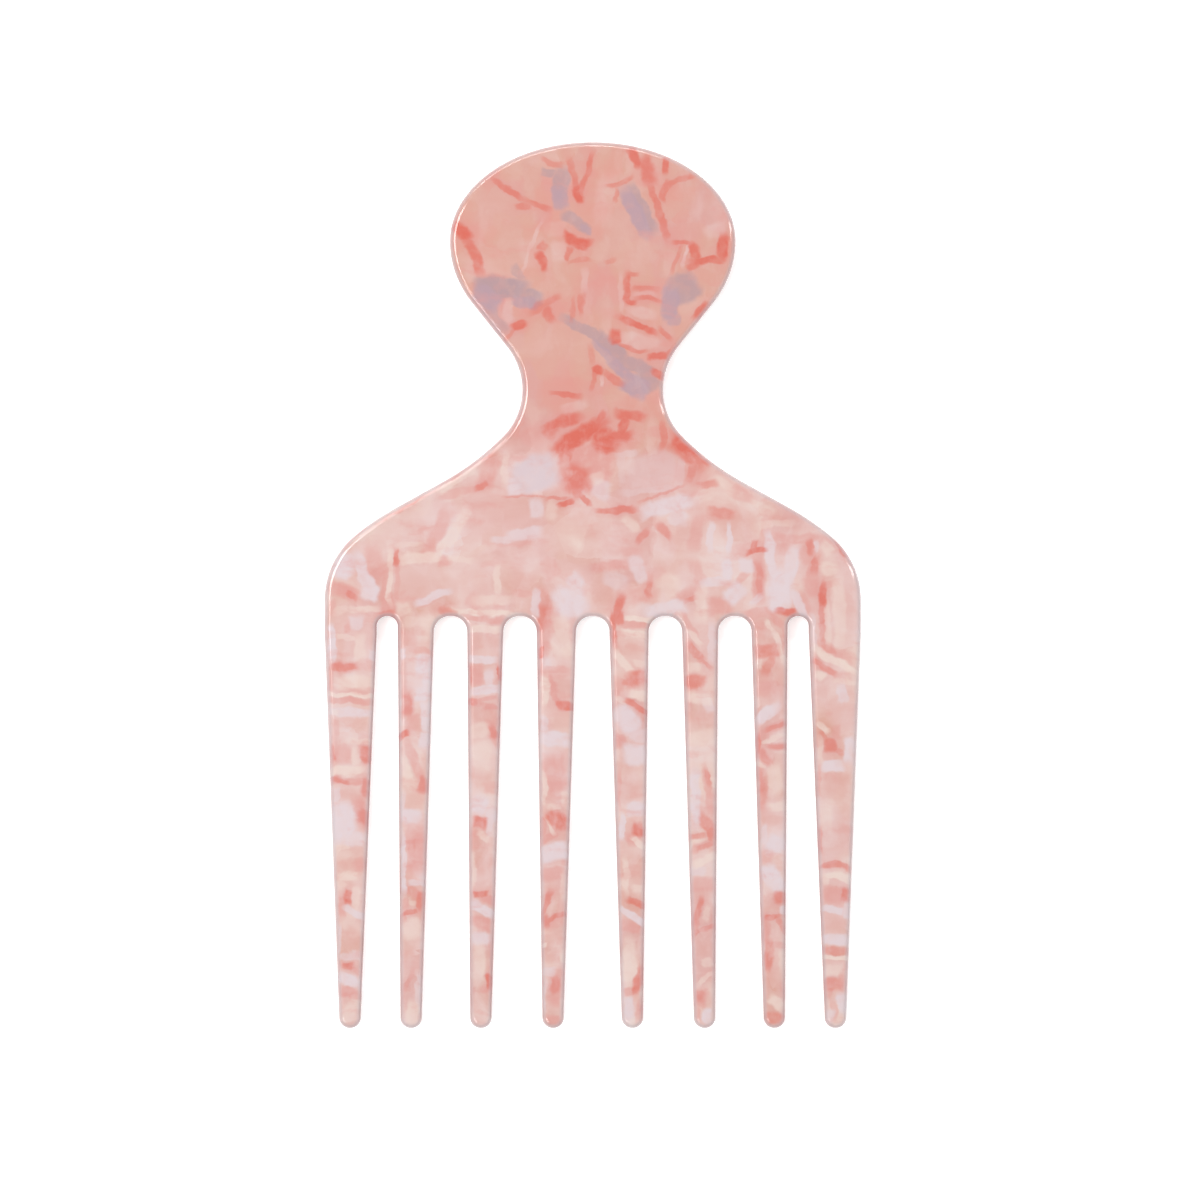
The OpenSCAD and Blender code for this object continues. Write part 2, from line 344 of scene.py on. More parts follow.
def rounded_sheet(node, right, left, outline):
    """Piece of the sheet between two chains, in place of a node, with its edges rounded and its flats closed.

    surface(u, v): u runs round the outline and v from -90 to 90 degrees over the edge. The place is the
    outline's, drawn in by edge (1 - cos v) along its facing. The height is edge (1 + sin v), and above the
    middle the sheet's thickness less two edges is added. The normal is (facing cos v, sin v).
    """
    name = "polished_" + node
    ring = np.vstack([right, left[::-1]])
    count = len(ring)
    quarter = np.linspace(0, np.pi / 2, EDGE_STEPS + 1)
    tilt = np.concatenate([-quarter[::-1], quarter])
    lifted = np.arange(len(tilt)) > EDGE_STEPS
    inset = outline.edge * (1 - np.cos(tilt))
    height = outline.edge * (1 + np.sin(tilt)) + lifted * (outline.thickness - 2 * outline.edge)
    shape = (len(tilt), count, 1)
    place = ring[None, :, :2] - inset[:, None, None] * ring[None, :, 2:] + np.array([0, outline.foot])
    points = np.concatenate([place, np.broadcast_to(height[:, None, None], shape)], axis=2).reshape(-1, 3)
    sideways = np.cos(tilt)[:, None, None] * ring[None, :, 2:]
    upwards = np.broadcast_to(np.sin(tilt)[:, None, None], shape)
    normals = np.concatenate([sideways, upwards], axis=2).reshape(-1, 3)

    here = np.arange(count)
    after = np.roll(here, -1)
    level = count * np.arange(len(tilt) - 1)[:, None]
    quads = np.stack([level + here, level + after, level + after + count, level + here + count], axis=2)
    flats = np.stack([here[::-1], here + count * (len(tilt) - 1)])

    # Where the outline turns right back on itself, the piece meets its neighbour on a plain cut.
    step = ring[after, :2] - ring[:, :2]
    cut = np.einsum("ij,ij->i", ring[:, 2:], ring[after, 2:]) < 0
    cut_normal = np.stack([step[:, 1], -step[:, 0], np.zeros(count)], axis=1)
    cut_normal /= np.linalg.norm(step, axis=1, keepdims=True)
    quad_normals = normals[quads]
    quad_normals[:, cut] = cut_normal[cut][None, :, None, :]

    mesh = bpy.data.meshes.new(name)
    mesh.from_pydata(points.tolist(), [], quads.reshape(-1, 4).tolist() + flats.tolist())
    mesh.polygons.foreach_set("use_smooth", np.ones(len(mesh.polygons), bool))
    corner_normals = np.vstack([quad_normals.reshape(-1, 3), normals[flats].reshape(-1, 3)])
    mesh.normals_split_custom_set(corner_normals.tolist())
    # How far round the edge each point lies, from which the finish paints shade along the edges.
    rim = mesh.attributes.new(RIM, "FLOAT", "POINT")
    rim.data.foreach_set("value", np.repeat(np.cos(tilt), count).astype(np.float32))
    mesh.materials.append(marbled_acetate(bpy.context.scene.comb_tints, node))

    piece = bpy.data.objects.new(name, mesh)
    bpy.context.scene.collection.objects.link(piece)
    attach(piece, BODY)
    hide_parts(node)
    return piece


# Marbled acetate

# Marks of the marbling. Each is x, y, length and width in millimetres and strength. A turned one adds its
# turn in degrees, and a curved one also how many half widths its ends bow to the side. The table after them
# says how they lie over each other.

PALE = (
    # Grip
    (-9.9, 55.5, 8.6, 0.7, 0.45, 68), (15.3, 54, 3.8, 0.6, 0.7, 78), (20, 57.8, 3.4, 2.2, 0.35, 15),
    (4.5, 48, 0.8, 6.4, 0.35), (-1.5, 50, 1.3, 3.4, 0.35), (-13.7, 45, 1.6, 4.4, 0.35),
    (-3, 29.3, 4.4, 1.7, 0.35, 20), (-5.5, 54.6, 2.6, 3.2, 0.35), (7.5, 39.9, 7.4, 2, 0.4, -8),
    (1.5, 33.5, 0.8, 1.6, 0.5), (8, 44.6, 4.4, 1.6, 0.35, -16), (8.5, 47.7, 3.6, 0.7, 0.45, -6),
    (2, 63, 3.2, 8, 0.22, -6), (-10, 54.5, 4, 4.4, 0.2, 10), (-19, 51.5, 4, 3, 0.2, -20),
    (-6, 58.4, 3.2, 2.6, 0.2),
    # Shoulders
    (-29.5, 0.6, 9, 7, 0.5), (-36, 5, 5, 4, 0.4, 30), (-19.5, 0.8, 9, 6, 0.4), (-30, 9, 12, 5, 0.35, 30),
    (-14, 11.5, 8, 4, 0.25),
)

ROSE = (
    # Grip
    (-16.5, 60.5, 8, 6, 0.3, 20), (14.8, 61, 6.5, 7.5, 0.35, 10), (9.3, 53.3, 8, 4.2, 0.35),
    (-6.8, 38, 8, 9, 0.4, 5), (2.6, 46.8, 3.6, 5.5, 0.3), (-16, 53.5, 4, 5, 0.25, 30),
    # Shoulders
    (9.5, 18.2, 8.5, 4.6, 0.5, 4), (-14.5, 12, 7.5, 5, 0.4), (-30, 10.5, 11, 4, 0.15, 32),
    (-29.3, -0.2, 6.5, 4.6, 0.25, 5), (-19.2, 0.2, 6, 5.2, 0.35, 3), (-11.6, 0.2, 4.6, 3.4, 0.5, -5),
    (-2.5, 9.5, 9, 3.6, 0.4, -8), (24.5, 10, 6.5, 3.4, 0.5, -10), (30.5, 10.8, 8, 1.4, 0.4, -28),
    (33.5, -1.6, 3.4, 3.2, 0.5, 60), (2, -2.2, 3.6, 5, 0.4, 20), (14, 3, 5, 2.4, 0.4, 15),
    (41.7, -4, 3.2, 11, 0.35), (13, 8.2, 5, 5, 0.4, 30), (-26, 5.5, 2, 5.5, 0.3, 20),
    # Teeth
    (-40.2, -10.5, 2.6, 3.6, 0.4), (-39.8, -22.6, 5.4, 1.9, 0.4), (-40.3, -34.3, 4.2, 2.4, 0.6, -5),
    (-40.4, -45.6, 4.6, 2.2, 0.6, 4), (-39.2, -57.4, 2.8, 3.8, 0.5), (-31, -15, 1.5, 5, 0.6),
    (-27.5, -29.2, 1.2, 4, 0.5), (-29, -35, 3.4, 2, 0.5, -8), (-30.1, -60.4, 2.8, 2.4, 0.5),
    (-17.6, -9.2, 5.2, 1.5, 0.5), (-18, -21.4, 4.4, 2.2, 0.6, -6), (-18.6, -31.5, 3.4, 3.4, 0.4),
    (-17.6, -45.4, 3, 4.2, 0.5), (-4.8, -17, 2.6, 4, 0.5), (-5.2, -21.9, 3.6, 2.4, 0.6),
    (-6.4, -49.6, 2.8, 3, 0.5), (-6.8, -57.6, 3, 2.2, 0.4), (-6.8, -60.9, 2.8, 1.6, 0.7),
    (5.8, -10.4, 4.6, 2.5, 0.7), (6, -33.8, 4.2, 3, 0.7), (7.2, -47.2, 2.6, 3.6, 0.6),
    (17, -21.4, 3.4, 1.8, 0.6, 4), (18, -51.6, 2.6, 2.2, 0.5, 20), (18.2, -59.4, 2.8, 3.6, 0.5),
    (30.4, -14.2, 2, 3.4, 0.5, 10), (29.4, -38.4, 3.8, 1.9, 0.5), (29.8, -64.6, 2.9, 3.6, 0.5),
    (40.6, -20.6, 5, 5.4, 0.5), (40.2, -33.2, 5.4, 4.4, 0.7), (40, -43.4, 4.6, 2.6, 0.4),
    (39.9, -55.4, 4.2, 2, 0.6), (41, -38, 2.2, 4.4, 0.4), (-38.5, -43, 2, 2.4, 0.3),
)

SALMON = (
    # Grip
    (-19, 57, 4, 2.4, 0.35, -60), (9, 67, 3.4, 4.6, 0.45, 70), (-8, 45.6, 6, 3, 0.45, 25),
    (-3, 46, 3, 4.2, 0.35, 85), (14.2, 53.4, 1.6, 5, 0.4, 80), (8.6, 47.8, 5.4, 3.4, 0.4, -6),
    (10.5, 39.6, 6, 5, 0.25, -20), (-4, 33, 9, 2, 0.3, -4), (9.8, 30.6, 2.6, 4.4, 0.4, 85),
    (-7.5, 30.5, 4, 3, 0.3, 10), (2.6, 33.6, 4, 2, 0.35, -35), (1.2, 49.2, 3.6, 1.4, 0.3, 80),
    # Neck
    (-3.2, 24.6, 8.6, 4.2, 0.6, 28), (4.6, 24.8, 5, 6, 0.5, 10), (-1.6, 21.4, 8, 3.4, 0.9, 4),
    (1.2, 18.8, 7.6, 3.8, 0.85, 78), (11.4, 25, 1.6, 5, 0.5, 88), (-9.6, 24.4, 3.4, 4, 0.35, 40),
    (16, 17.8, 2.8, 6, 0.55, 80), (-17, 18.2, 5.8, 3, 0.75, 66), (-22.4, 15.1, 5.6, 1.2, 0.55, 10),
    (24.2, 15, 5.2, 1.8, 0.5, -28), (9.5, 29.5, 4, 4, 0.3),
    # Shoulders
    (-35.8, 3.4, 3, 6.2, 0.5, 8), (-34.1, 0.6, 1, 5, 0.6, 4), (-33.6, -3, 2.3, 3.8, 0.7, -8),
    (-33.6, -4.9, 4, 1.4, 0.9), (-40.9, -0.9, 4.8, 2.3, 0.85, -20), (-42.6, -3.6, 1.1, 2.6, 0.6),
    (-25.6, 8.2, 9.4, 2.2, 0.6, 63), (-24.3, 3.8, 2.2, 1.9, 0.7, 10), (-24.6, -3.4, 4.4, 1.1, 0.2, 14),
    (-31.9, 1, 0.8, 7, 0.5, 2), (-27, -2.7, 3.2, 1.1, 0.4, 20), (-19.6, -2.6, 2.6, 2.4, 0.5, 40),
    (-6.8, 2.6, 2.6, 3.4, 0.4, 30), (-7.9, -2.4, 2, 4.6, 0.6, 12), (-11.5, -1.2, 3.4, 1.2, 0.5, -12),
    (3.2, 3.2, 6.4, 1.7, 0.7, 8), (8.2, -1.2, 4.6, 3, 0.6, 25), (9.3, 0.2, 1.3, 4, 0.6, -10),
    (15.6, -1.6, 4.6, 2.2, 0.6, 28), (17.2, 2, 2, 4.6, 0.5, 20), (16.8, 8.6, 2.2, 5.2, 0.55, -8),
    (20.8, -3.5, 4, 2.8, 0.75, 5), (24.4, 0.8, 3.4, 1.2, 0.55, 60), (27.1, 0.9, 2.1, 7.6, 0.85),
    (24.4, 5.9, 3.6, 2, 0.4, 10), (28, 8.4, 5.4, 1.7, 0.6, 72), (33.4, 7.7, 8.4, 1.6, 0.6, -4),
    (31.4, 6, 2, 2.2, 0.6), (35.4, 5.2, 3.2, 3.8, 0.6, 20), (36.2, 2.6, 1.7, 4, 0.65, -14),
    (35.8, -0.2, 2.6, 3.2, 0.75, 10), (34.6, -3, 2, 4, 0.5, 30), (38.8, 0.3, 3.2, 0.9, 0.6, 10),
    (27.4, -4.7, 6.4, 1.8, 0.65, 8), (11.4, 1.4, 2, 3.4, 0.3, 40), (6, 5.6, 4, 1.4, 0.35, -14),
    (37.6, -4, 1.2, 9, 0.6, 1),
    # Left teeth
    (-40.5, -13.4, 5, 1.7, 0.8, -3), (-42.8, -14.8, 1, 5, 0.65), (-37, -13, 2.2, 1.8, 0.5),
    (-39.8, -18.9, 8, 1, 0.9, -4), (-41, -27.6, 3.4, 3, 0.75), (-39.8, -31.9, 7.2, 1.3, 0.85, -3),
    (-37.3, -33.2, 1.5, 3.8, 0.8), (-37.6, -37.4, 5.4, 2, 0.95, -66), (-38, -45.6, 2, 2.2, 0.6),
    (-41, -52.6, 1.3, 3.2, 0.8), (-40.3, -66.4, 3.4, 1.5, 0.8, -18), (-38.9, -67.2, 2, 1.2, 0.7),
    (-39, -62.9, 3, 1.1, 0.6, -28), (-42, -23.5, 0.8, 3, 0.4), (-30.2, -8.8, 2.6, 2.8, 0.6),
    (-28.3, -7.8, 2.6, 1.1, 0.4), (-28.4, -10.7, 4.4, 1.1, 0.6, -13), (-30.3, -19.5, 2.2, 5.4, 0.85),
    (-29.5, -22.5, 2.4, 2.8, 0.75), (-31.2, -27.3, 1, 2, 0.6), (-29.1, -28.9, 6.4, 1.5, 0.8, -70),
    (-28.9, -43.4, 3.4, 7.6, 0.85), (-29.4, -50.3, 3.6, 1.8, 0.8, -38), (-30.9, -52.3, 1.4, 1.8, 0.6),
    (-31.2, -54.8, 0.9, 2.4, 0.6), (-30.4, -65.2, 6.4, 0.9, 0.55, 70), (-17.7, -5.6, 6.2, 0.9, 0.75, -5),
    (-19.1, -14.6, 2.6, 3.4, 0.85), (-17.4, -18.8, 4.6, 0.8, 0.7, 5), (-17.7, -19.8, 5.2, 0.9, 0.8, -12),
    (-15.4, -20.6, 0.7, 4.6, 0.6, -4), (-16.1, -24.4, 5, 1.7, 0.85, -68), (-16.6, -33.1, 2.2, 1.7, 0.5),
    (-19.5, -41.6, 1.4, 3.4, 0.5), (-17, -51.7, 3, 1.2, 0.8, -30), (-18.4, -55.3, 4.2, 1.9, 0.85, -16),
    (-16.6, -60.6, 0.8, 6, 0.6), (-17.7, -66.2, 1.8, 1, 0.7), (-7.9, -8.6, 2.6, 5.6, 0.8, -6),
    (-8.8, -13.4, 0.8, 4.6, 0.6), (-5.9, -13.9, 4.4, 1.2, 0.6, -4), (-6.3, -17.2, 6.4, 1.1, 0.75, -70),
    (-6.1, -31, 4, 6.6, 0.8), (-8.2, -39.7, 1.2, 3.4, 0.7), (-7.4, -41.4, 3.8, 1.3, 0.8, 34),
    (-4.6, -45, 1.2, 2, 0.6), (-6.6, -47.2, 4, 2, 0.7, 3), (-5.1, -52.8, 1.2, 2.4, 0.6),
    (-6.6, -55, 3.6, 2.2, 0.7, 12), (-6.2, -66.4, 2, 5, 0.85), (-6.4, -71.4, 3, 1.6, 0.8),
    # Right teeth
    (7, -6.4, 4.6, 1.4, 0.85, -3), (4.1, -16.6, 1.8, 3.4, 0.6), (8.5, -21.6, 0.9, 2.8, 0.6),
    (4.6, -25.6, 1.9, 2, 0.7), (4.3, -33.2, 0.9, 5.4, 0.7), (6.3, -41.5, 1.5, 2.4, 0.7, 10),
    (6.2, -55.8, 4, 2, 0.75, -18), (8.1, -60.8, 0.8, 6, 0.6), (6.2, -66.4, 3, 1.4, 0.75, 4),
    (7.7, -69.9, 1.3, 4.4, 0.8, -14), (15.8, -6.6, 4.6, 1.1, 0.6, -62), (15.2, -12.2, 0.8, 4.4, 0.75),
    (16.6, -16.6, 3.6, 1.6, 0.6, 2), (18.8, -32.6, 6.4, 1.1, 0.75, -78), (19.4, -35.4, 1.3, 4, 0.6),
    (18, -49, 4, 2.4, 0.6), (17.6, -67.4, 2.1, 3, 0.85), (17, -69.6, 1, 3.2, 0.7, 10),
    (18, -42.7, 3.8, 1.2, 0.6, 27), (27.2, -7.2, 2.2, 3.4, 0.6), (30.2, -5.9, 3.6, 1.4, 0.75, -35),
    (31.4, -8.4, 0.7, 4.2, 0.6), (28.6, -16.9, 4.2, 3, 0.65, 5), (29.4, -23.5, 5, 1.5, 0.7, 28),
    (30, -26.1, 3.6, 1.4, 0.85, -3), (27.4, -31.6, 1.2, 4.4, 0.75), (28.3, -44.2, 2.6, 2.6, 0.6, -30),
    (28.2, -56.2, 1.5, 4.6, 0.85), (30.6, -58.9, 2.2, 1.1, 0.6), (27.7, -48.8, 0.7, 6, 0.5, 3),
    (30.9, -66.6, 0.8, 3, 0.5), (39.9, -10.9, 7.4, 1.7, 0.7, -25), (40, -24.2, 1.5, 1.9, 0.6),
    (36.9, -32, 0.9, 4.4, 0.6), (39.6, -50.9, 4.2, 3, 0.85), (41, -65.2, 1.4, 3.4, 0.6),
    (39.5, -69.6, 0.9, 3.2, 0.6), (38.6, -66.8, 1.6, 1.8, 0.5), (41.4, -63, 0.9, 3, 0.5),
    (36.6, -12.6, 2.2, 2.2, 0.6, -10),
)

PEARL = (
    # Neck and shoulders
    (-9.3, 18.1, 7.4, 6, 0.95, 20), (-12, 16.3, 4, 3.2, 0.85, 5), (12.2, 12.9, 8.8, 2.6, 0.85, 14),
    (13.8, 11, 3, 2.6, 0.6, -20), (1.4, 15.6, 3.4, 2.8, 0.6, -20), (-9.3, 12.4, 2.3, 2.7, 0.7),
    (-11.2, 8.4, 5.6, 2, 0.7, 6), (-14.8, 7.6, 3.6, 1.2, 0.6, 4), (14.3, 18.4, 1.4, 5.2, 0.3, -6),
    (4.6, 19, 1.4, 5.4, 0.3, 4), (9.6, 18.8, 9, 5.4, 0.35, 8), (5.6, 21.4, 4, 1.2, 0.4, 3),
    (9, 15.6, 9, 1.2, 0.35, 6), (-40.6, 3.2, 3.4, 4, 0.95, -24), (-37.5, 1.8, 7.4, 1.9, 0.9, -66),
    (-36.4, -1.1, 2.8, 2.3, 0.95, -20), (-26.3, -2, 6, 1.3, 0.8, 22), (-9.3, -2.9, 1.3, 4.2, 0.7, -6),
    (-3.7, -2.7, 5.2, 5.2, 0.95, 18), (-2.8, 0.6, 2.6, 2.6, 0.85, 40), (11.8, -3.8, 7.4, 2.4, 0.9, 3),
    (7.4, 2.6, 4.2, 2.2, 0.6, -66), (3.6, 0.7, 4.2, 2.4, 0.45, -18), (21.9, 2.6, 1.8, 4, 0.85, 8),
    (19.8, 0.4, 4.4, 1.6, 0.8, 8), (19.3, 7.8, 1.1, 4.6, 0.75), (22.2, 7.6, 1, 4.8, 0.8),
    (23.2, -1.4, 3.8, 3, 0.9, 50), (25.2, 3.3, 2.3, 2.5, 0.75), (26.7, -2.3, 2.4, 1.2, 0.6, 50),
    (29.2, 4.6, 8.4, 1.7, 0.85, -80), (32.4, 2.8, 7, 2.1, 0.85, 80), (30.7, -0.6, 4, 6.4, 0.95, -4),
    (30.2, -3.2, 2.6, 2.6, 0.9), (33.6, -3.1, 5, 1.5, 0.8, -58), (36.6, 6.4, 0.8, 2, 0.65),
    (36.2, -7.4, 0.9, 5.4, 0.5, 3),
    # Left teeth
    (-38.6, -6, 2.2, 2, 0.6), (-42.6, -9.5, 1.2, 6.2, 0.95), (-36.2, -11.3, 1, 1.7, 0.7),
    (-39.6, -20.8, 7, 1.5, 0.9, -2), (-42, -34.4, 1, 2.6, 0.6), (-40.7, -38.8, 4.2, 6.2, 0.95, 4),
    (-39.2, -41.6, 3.4, 2.2, 0.7), (-38.9, -53.4, 3.8, 1.2, 0.85, -25), (-39.6, -60.6, 3.4, 1.4, 0.6),
    (-39.9, -64.6, 3.8, 1.8, 0.95, -20), (-41.5, -57.6, 0.8, 4.4, 0.6), (-31, -11.3, 1, 1.8, 0.85),
    (-27.8, -13.2, 2.2, 3.4, 0.9), (-27.2, -16, 1.5, 3.2, 0.85), (-28, -18, 2, 2.2, 0.9),
    (-27.4, -21.4, 1.5, 4.8, 0.9), (-27.6, -25.2, 1.8, 2.8, 0.85), (-31, -36, 1, 4, 0.7),
    (-29.9, -37.7, 3.6, 2.5, 0.9), (-31, -45.6, 0.9, 9.6, 0.95, 1), (-29, -48.6, 2.6, 1, 0.7),
    (-28.5, -66.6, 0.9, 6, 0.6, 4), (-18, -12.1, 4.8, 1.2, 0.85), (-17, -15.2, 1.5, 3.4, 0.6),
    (-17.5, -17.2, 4.8, 1.5, 0.95, 3), (-18.7, -35.8, 3, 2.6, 0.85, -8), (-16.8, -38.6, 1.4, 4.4, 0.65),
    (-18, -53.1, 4.6, 1.6, 0.98, -36), (-18.3, -58, 3.2, 2.3, 0.85), (-8, -22.6, 1, 2.8, 0.7),
    (-6.2, -25.2, 5.2, 2.3, 0.95, -8), (-6.4, -43.6, 4.8, 3, 0.95, 14), (-7.2, -63.2, 2.2, 1.4, 0.65),
    (-7.9, -67.2, 0.7, 5.4, 0.5),
    # Right teeth
    (5.6, -22, 5, 3.4, 0.9, -50), (7.4, -24.4, 2.6, 2.4, 0.6), (6.8, -27.6, 3.6, 3.4, 0.85),
    (7, -36.8, 3, 2.4, 0.85), (4.8, -39.4, 1.1, 4.4, 0.95), (6.4, -54, 5, 1.3, 0.95, -34),
    (5.9, -69.2, 1.7, 3.6, 0.85), (19.4, -9.4, 1.2, 6.4, 0.55), (16.8, -34.6, 1.8, 9.2, 0.95, 2),
    (18.8, -70.6, 1.8, 2.8, 0.95), (19, -19.4, 1.6, 2.8, 0.6, 10), (17, -46.8, 2.6, 1.4, 0.55),
    (28.4, -21, 4.8, 2, 0.95, 38), (27.9, -40.8, 1.2, 3, 0.6), (30, -42.4, 3.4, 2.6, 0.9, -30),
    (29.5, -48, 4.8, 2.8, 0.98, -62), (31, -53.3, 1, 1.5, 0.8), (40.7, -17.6, 1.7, 2.5, 0.75),
    (41.9, -27, 1.9, 4.2, 0.9), (39.3, -29.6, 3.8, 1.9, 0.9, 4), (39.4, -53.1, 3.8, 1.2, 0.9),
    (41.6, -52.8, 0.9, 2.6, 0.8), (39.7, -57.9, 4.6, 1.8, 0.95), (40.8, -68.4, 1.5, 3.4, 0.9),
    (38.7, -70.6, 1.6, 2.2, 0.6),
)

CREAM = (
    # Neck and shoulders
    (-22.4, 9.2, 7.4, 1.9, 0.6, 60), (-22.4, 17, 7, 1.1, 0.6, 33), (-14.3, 18.8, 1, 5.2, 0.6),
    (0.8, 17.2, 2.2, 2, 0.5, 10), (-6.8, 12.2, 2, 3, 0.5, -8), (6.2, 10, 3, 1.7, 0.6, -50),
    (-33.2, 1.8, 0.9, 9.4, 0.75, 1), (-28.3, 4.4, 6.6, 1.6, 0.75, 2), (-24.4, 6.4, 4.4, 1.2, 0.6, 64),
    (-30.4, 6.6, 4.6, 1, 0.5, 8), (-21.4, 4, 4.4, 1, 0.5, -12), (-15.7, 0.6, 1.1, 5.4, 0.7),
    (-17.6, -4.4, 10.6, 1.1, 0.98, -3), (-16.4, -2.4, 6.4, 1.7, 0.6, -2), (-37.6, 8.2, 4.4, 1.4, 0.4, 28),
    (-37.6, -3.8, 4.4, 1.2, 0.65, 4), (-41.2, -4.2, 3, 1.2, 0.45, 10), (-31, -3.8, 2.6, 2.4, 0.65, 12),
    (7.5, -5.3, 4.6, 0.9, 0.95, -3), (17.8, -3.2, 2, 5.4, 0.6), (38.6, 2.6, 2.8, 2.2, 0.65, 5),
    (38.3, 6, 2.4, 1.5, 0.55, -45), (40.3, -4, 1.9, 11, 0.6, 2), (27.6, 12.8, 4, 1.4, 0.5, -30),
    (30, 10, 6.4, 1.2, 0.5, 5), (12.6, 0.4, 3.2, 2.2, 0.5, -10), (21.6, 16.4, 3.4, 1.4, 0.45, -35),
    (38.4, -6.2, 1.1, 7.4, 0.5, 1),
    # Left teeth
    (-40.2, -8.6, 3.4, 1, 0.65), (-38, -10.2, 1.9, 4.6, 0.6), (-39.2, -16, 6, 2.3, 0.75),
    (-39.6, -18, 8.4, 0.6, 0.98, -4), (-38.7, -28, 1.4, 3, 0.5), (-40.2, -30.3, 5.4, 1.4, 0.9, 3),
    (-38.2, -25.5, 4.6, 0.9, 0.5), (-39.9, -47.5, 3.4, 1.5, 0.7, 4), (-41.2, -48.9, 1.6, 1.4, 0.5, 20),
    (-38.6, -50.8, 1.3, 3.2, 0.6), (-39.8, -70, 2, 2.8, 0.6), (-42, -20.8, 1.2, 1.2, 0.6),
    (-29, -5.8, 4.4, 1.8, 0.45), (-30.5, -30.4, 5.4, 1.4, 0.85, -76), (-29.8, -32.7, 2.4, 1, 0.6, -20),
    (-29.6, -56.2, 3.2, 3, 0.65, 20), (-29.4, -70, 1.9, 3.8, 0.8), (-29.6, -52.2, 1.4, 0.9, 0.5),
    (-17.8, -7.2, 5.4, 1.4, 0.9), (-18.4, -23.9, 3.2, 2.6, 0.6), (-18.2, -27.8, 2.8, 5, 0.55, 6),
    (-17.8, -41, 2.4, 1.1, 0.8, -36), (-19.5, -46.6, 0.9, 5.4, 0.65), (-18.6, -62.2, 1.9, 6.4, 0.75),
    (-5, -8.6, 2.8, 6.4, 0.55, 4), (-7.8, -17.2, 1.3, 5.4, 0.85, -4), (-8, -33.2, 0.8, 5.2, 0.8),
    (-4.4, -35.2, 1.4, 2.6, 0.6), (-6.4, -36.2, 2.6, 0.9, 0.6, -8), (-7.1, -39, 3.2, 0.6, 0.75, -60),
    (-4.9, -49.6, 0.9, 4.2, 0.55), (-7.8, -58.9, 1, 0.9, 0.85), (-5, -60.6, 1, 1.9, 0.7),
    # Right teeth
    (7, -8, 4, 1.2, 0.9, -10), (4.9, -12.8, 5, 1.3, 0.85, -54), (7.6, -12.7, 2.2, 1.1, 0.5),
    (7.4, -17.9, 3.2, 1.4, 0.95, -14), (4.6, -18.7, 2.4, 0.9, 0.6, -24), (7.4, -41.9, 2.8, 1, 0.9, -42),
    (5.4, -47.6, 1, 5.6, 0.75), (7.3, -49.7, 1.7, 1.4, 0.6), (6, -61.6, 2.2, 7, 0.8, 3),
    (16.8, -8.8, 3, 0.8, 0.7, -52), (16.7, -13.3, 1.7, 1.8, 0.6), (17.6, -18.5, 4.4, 2, 0.8, -14),
    (18, -24.9, 4.2, 2.8, 0.65), (16.8, -42, 1.8, 0.8, 0.6), (18.2, -44.9, 4.2, 1.5, 0.85, 30),
    (18.8, -61.8, 1.6, 1.3, 0.6, 20), (18.5, -64.4, 3, 0.9, 0.65, 36), (18.7, -53.8, 1.2, 2.6, 0.5, -20),
    (28.9, -6.7, 1.9, 0.7, 0.75, -48), (30.3, -9.8, 5.4, 0.9, 0.8, -72), (27.3, -12.8, 1.2, 2, 0.5),
    (29.4, -24.9, 3.8, 0.6, 0.7, 18), (27.4, -29.4, 1.7, 0.8, 0.6, -50), (29.8, -31.8, 2.5, 4.6, 0.7),
    (30.3, -36, 2.6, 1.5, 0.8, 8), (30.8, -61.6, 1.1, 3.4, 0.55), (29.9, -68.2, 2.6, 1.7, 0.85, -30),
    (39.8, -12.3, 8.8, 1.3, 0.95, -31), (37.2, -14.8, 1.9, 1.5, 0.8, -40), (41.3, -15.9, 3.8, 0.8, 0.5, -5),
    (37.7, -23.4, 2.6, 1.1, 0.85, -40), (37.3, -27.2, 1, 3.8, 0.55), (38.2, -37.6, 2.2, 4.4, 0.55),
    (39.8, -47.5, 4.2, 1.1, 0.9, -6, 0.7), (38.2, -48.4, 1.2, 2, 0.65), (39.8, -60.8, 4.6, 0.7, 0.98),
    (39.3, -63, 2.6, 2, 0.6),
)

MAUVE = (
    (-5.2, 65.4, 2.6, 5.6, 0.8, -4), (-7.2, 67.5, 2.4, 1.3, 0.7, -8), (-2.7, 59.4, 5, 1.9, 0.75, -28),
    (8.3, 61.6, 8.4, 1.8, 0.85, -62), (-14.8, 48.7, 8.4, 3.6, 1, -8), (-12, 51, 3, 1.2, 0.55, -48),
    (-9.9, 47.2, 3.8, 2.8, 0.9, -6), (14.9, 48.6, 5, 4.6, 0.85, 30), (-1.6, 41.9, 7.6, 1.8, 0.75, -30),
    (3.2, 38.8, 6.6, 2.2, 0.85, -42), (7.2, 35.8, 6.4, 2.2, 0.8, -18), (9, 33.4, 3, 4, 0.8, 20),
    (-16, 43.6, 5.4, 2.2, 0.55, -52),
)

LILAC = (
    (-9.4, 18.2, 7, 5.6, 0.2, 20), (-5.4, 63.2, 2.6, 3.6, 0.8, 6), (7, 61, 8.6, 2.4, 0.9, -62),
    (-17.3, 47, 4.6, 3.2, 0.9, -38), (-11.2, 46.3, 4.2, 1.8, 0.8, -6), (12.6, 46.2, 2.8, 5.4, 0.9, -6),
    (13.3, 43.6, 2.2, 2.2, 0.6), (2, 37.9, 5.4, 1.5, 0.75, -48), (4.7, 35, 5.6, 2, 0.9, -44),
    (7, 32.4, 4.6, 3.4, 0.92, -30), (-1, 58.4, 2, 1, 0.6, -30),
)

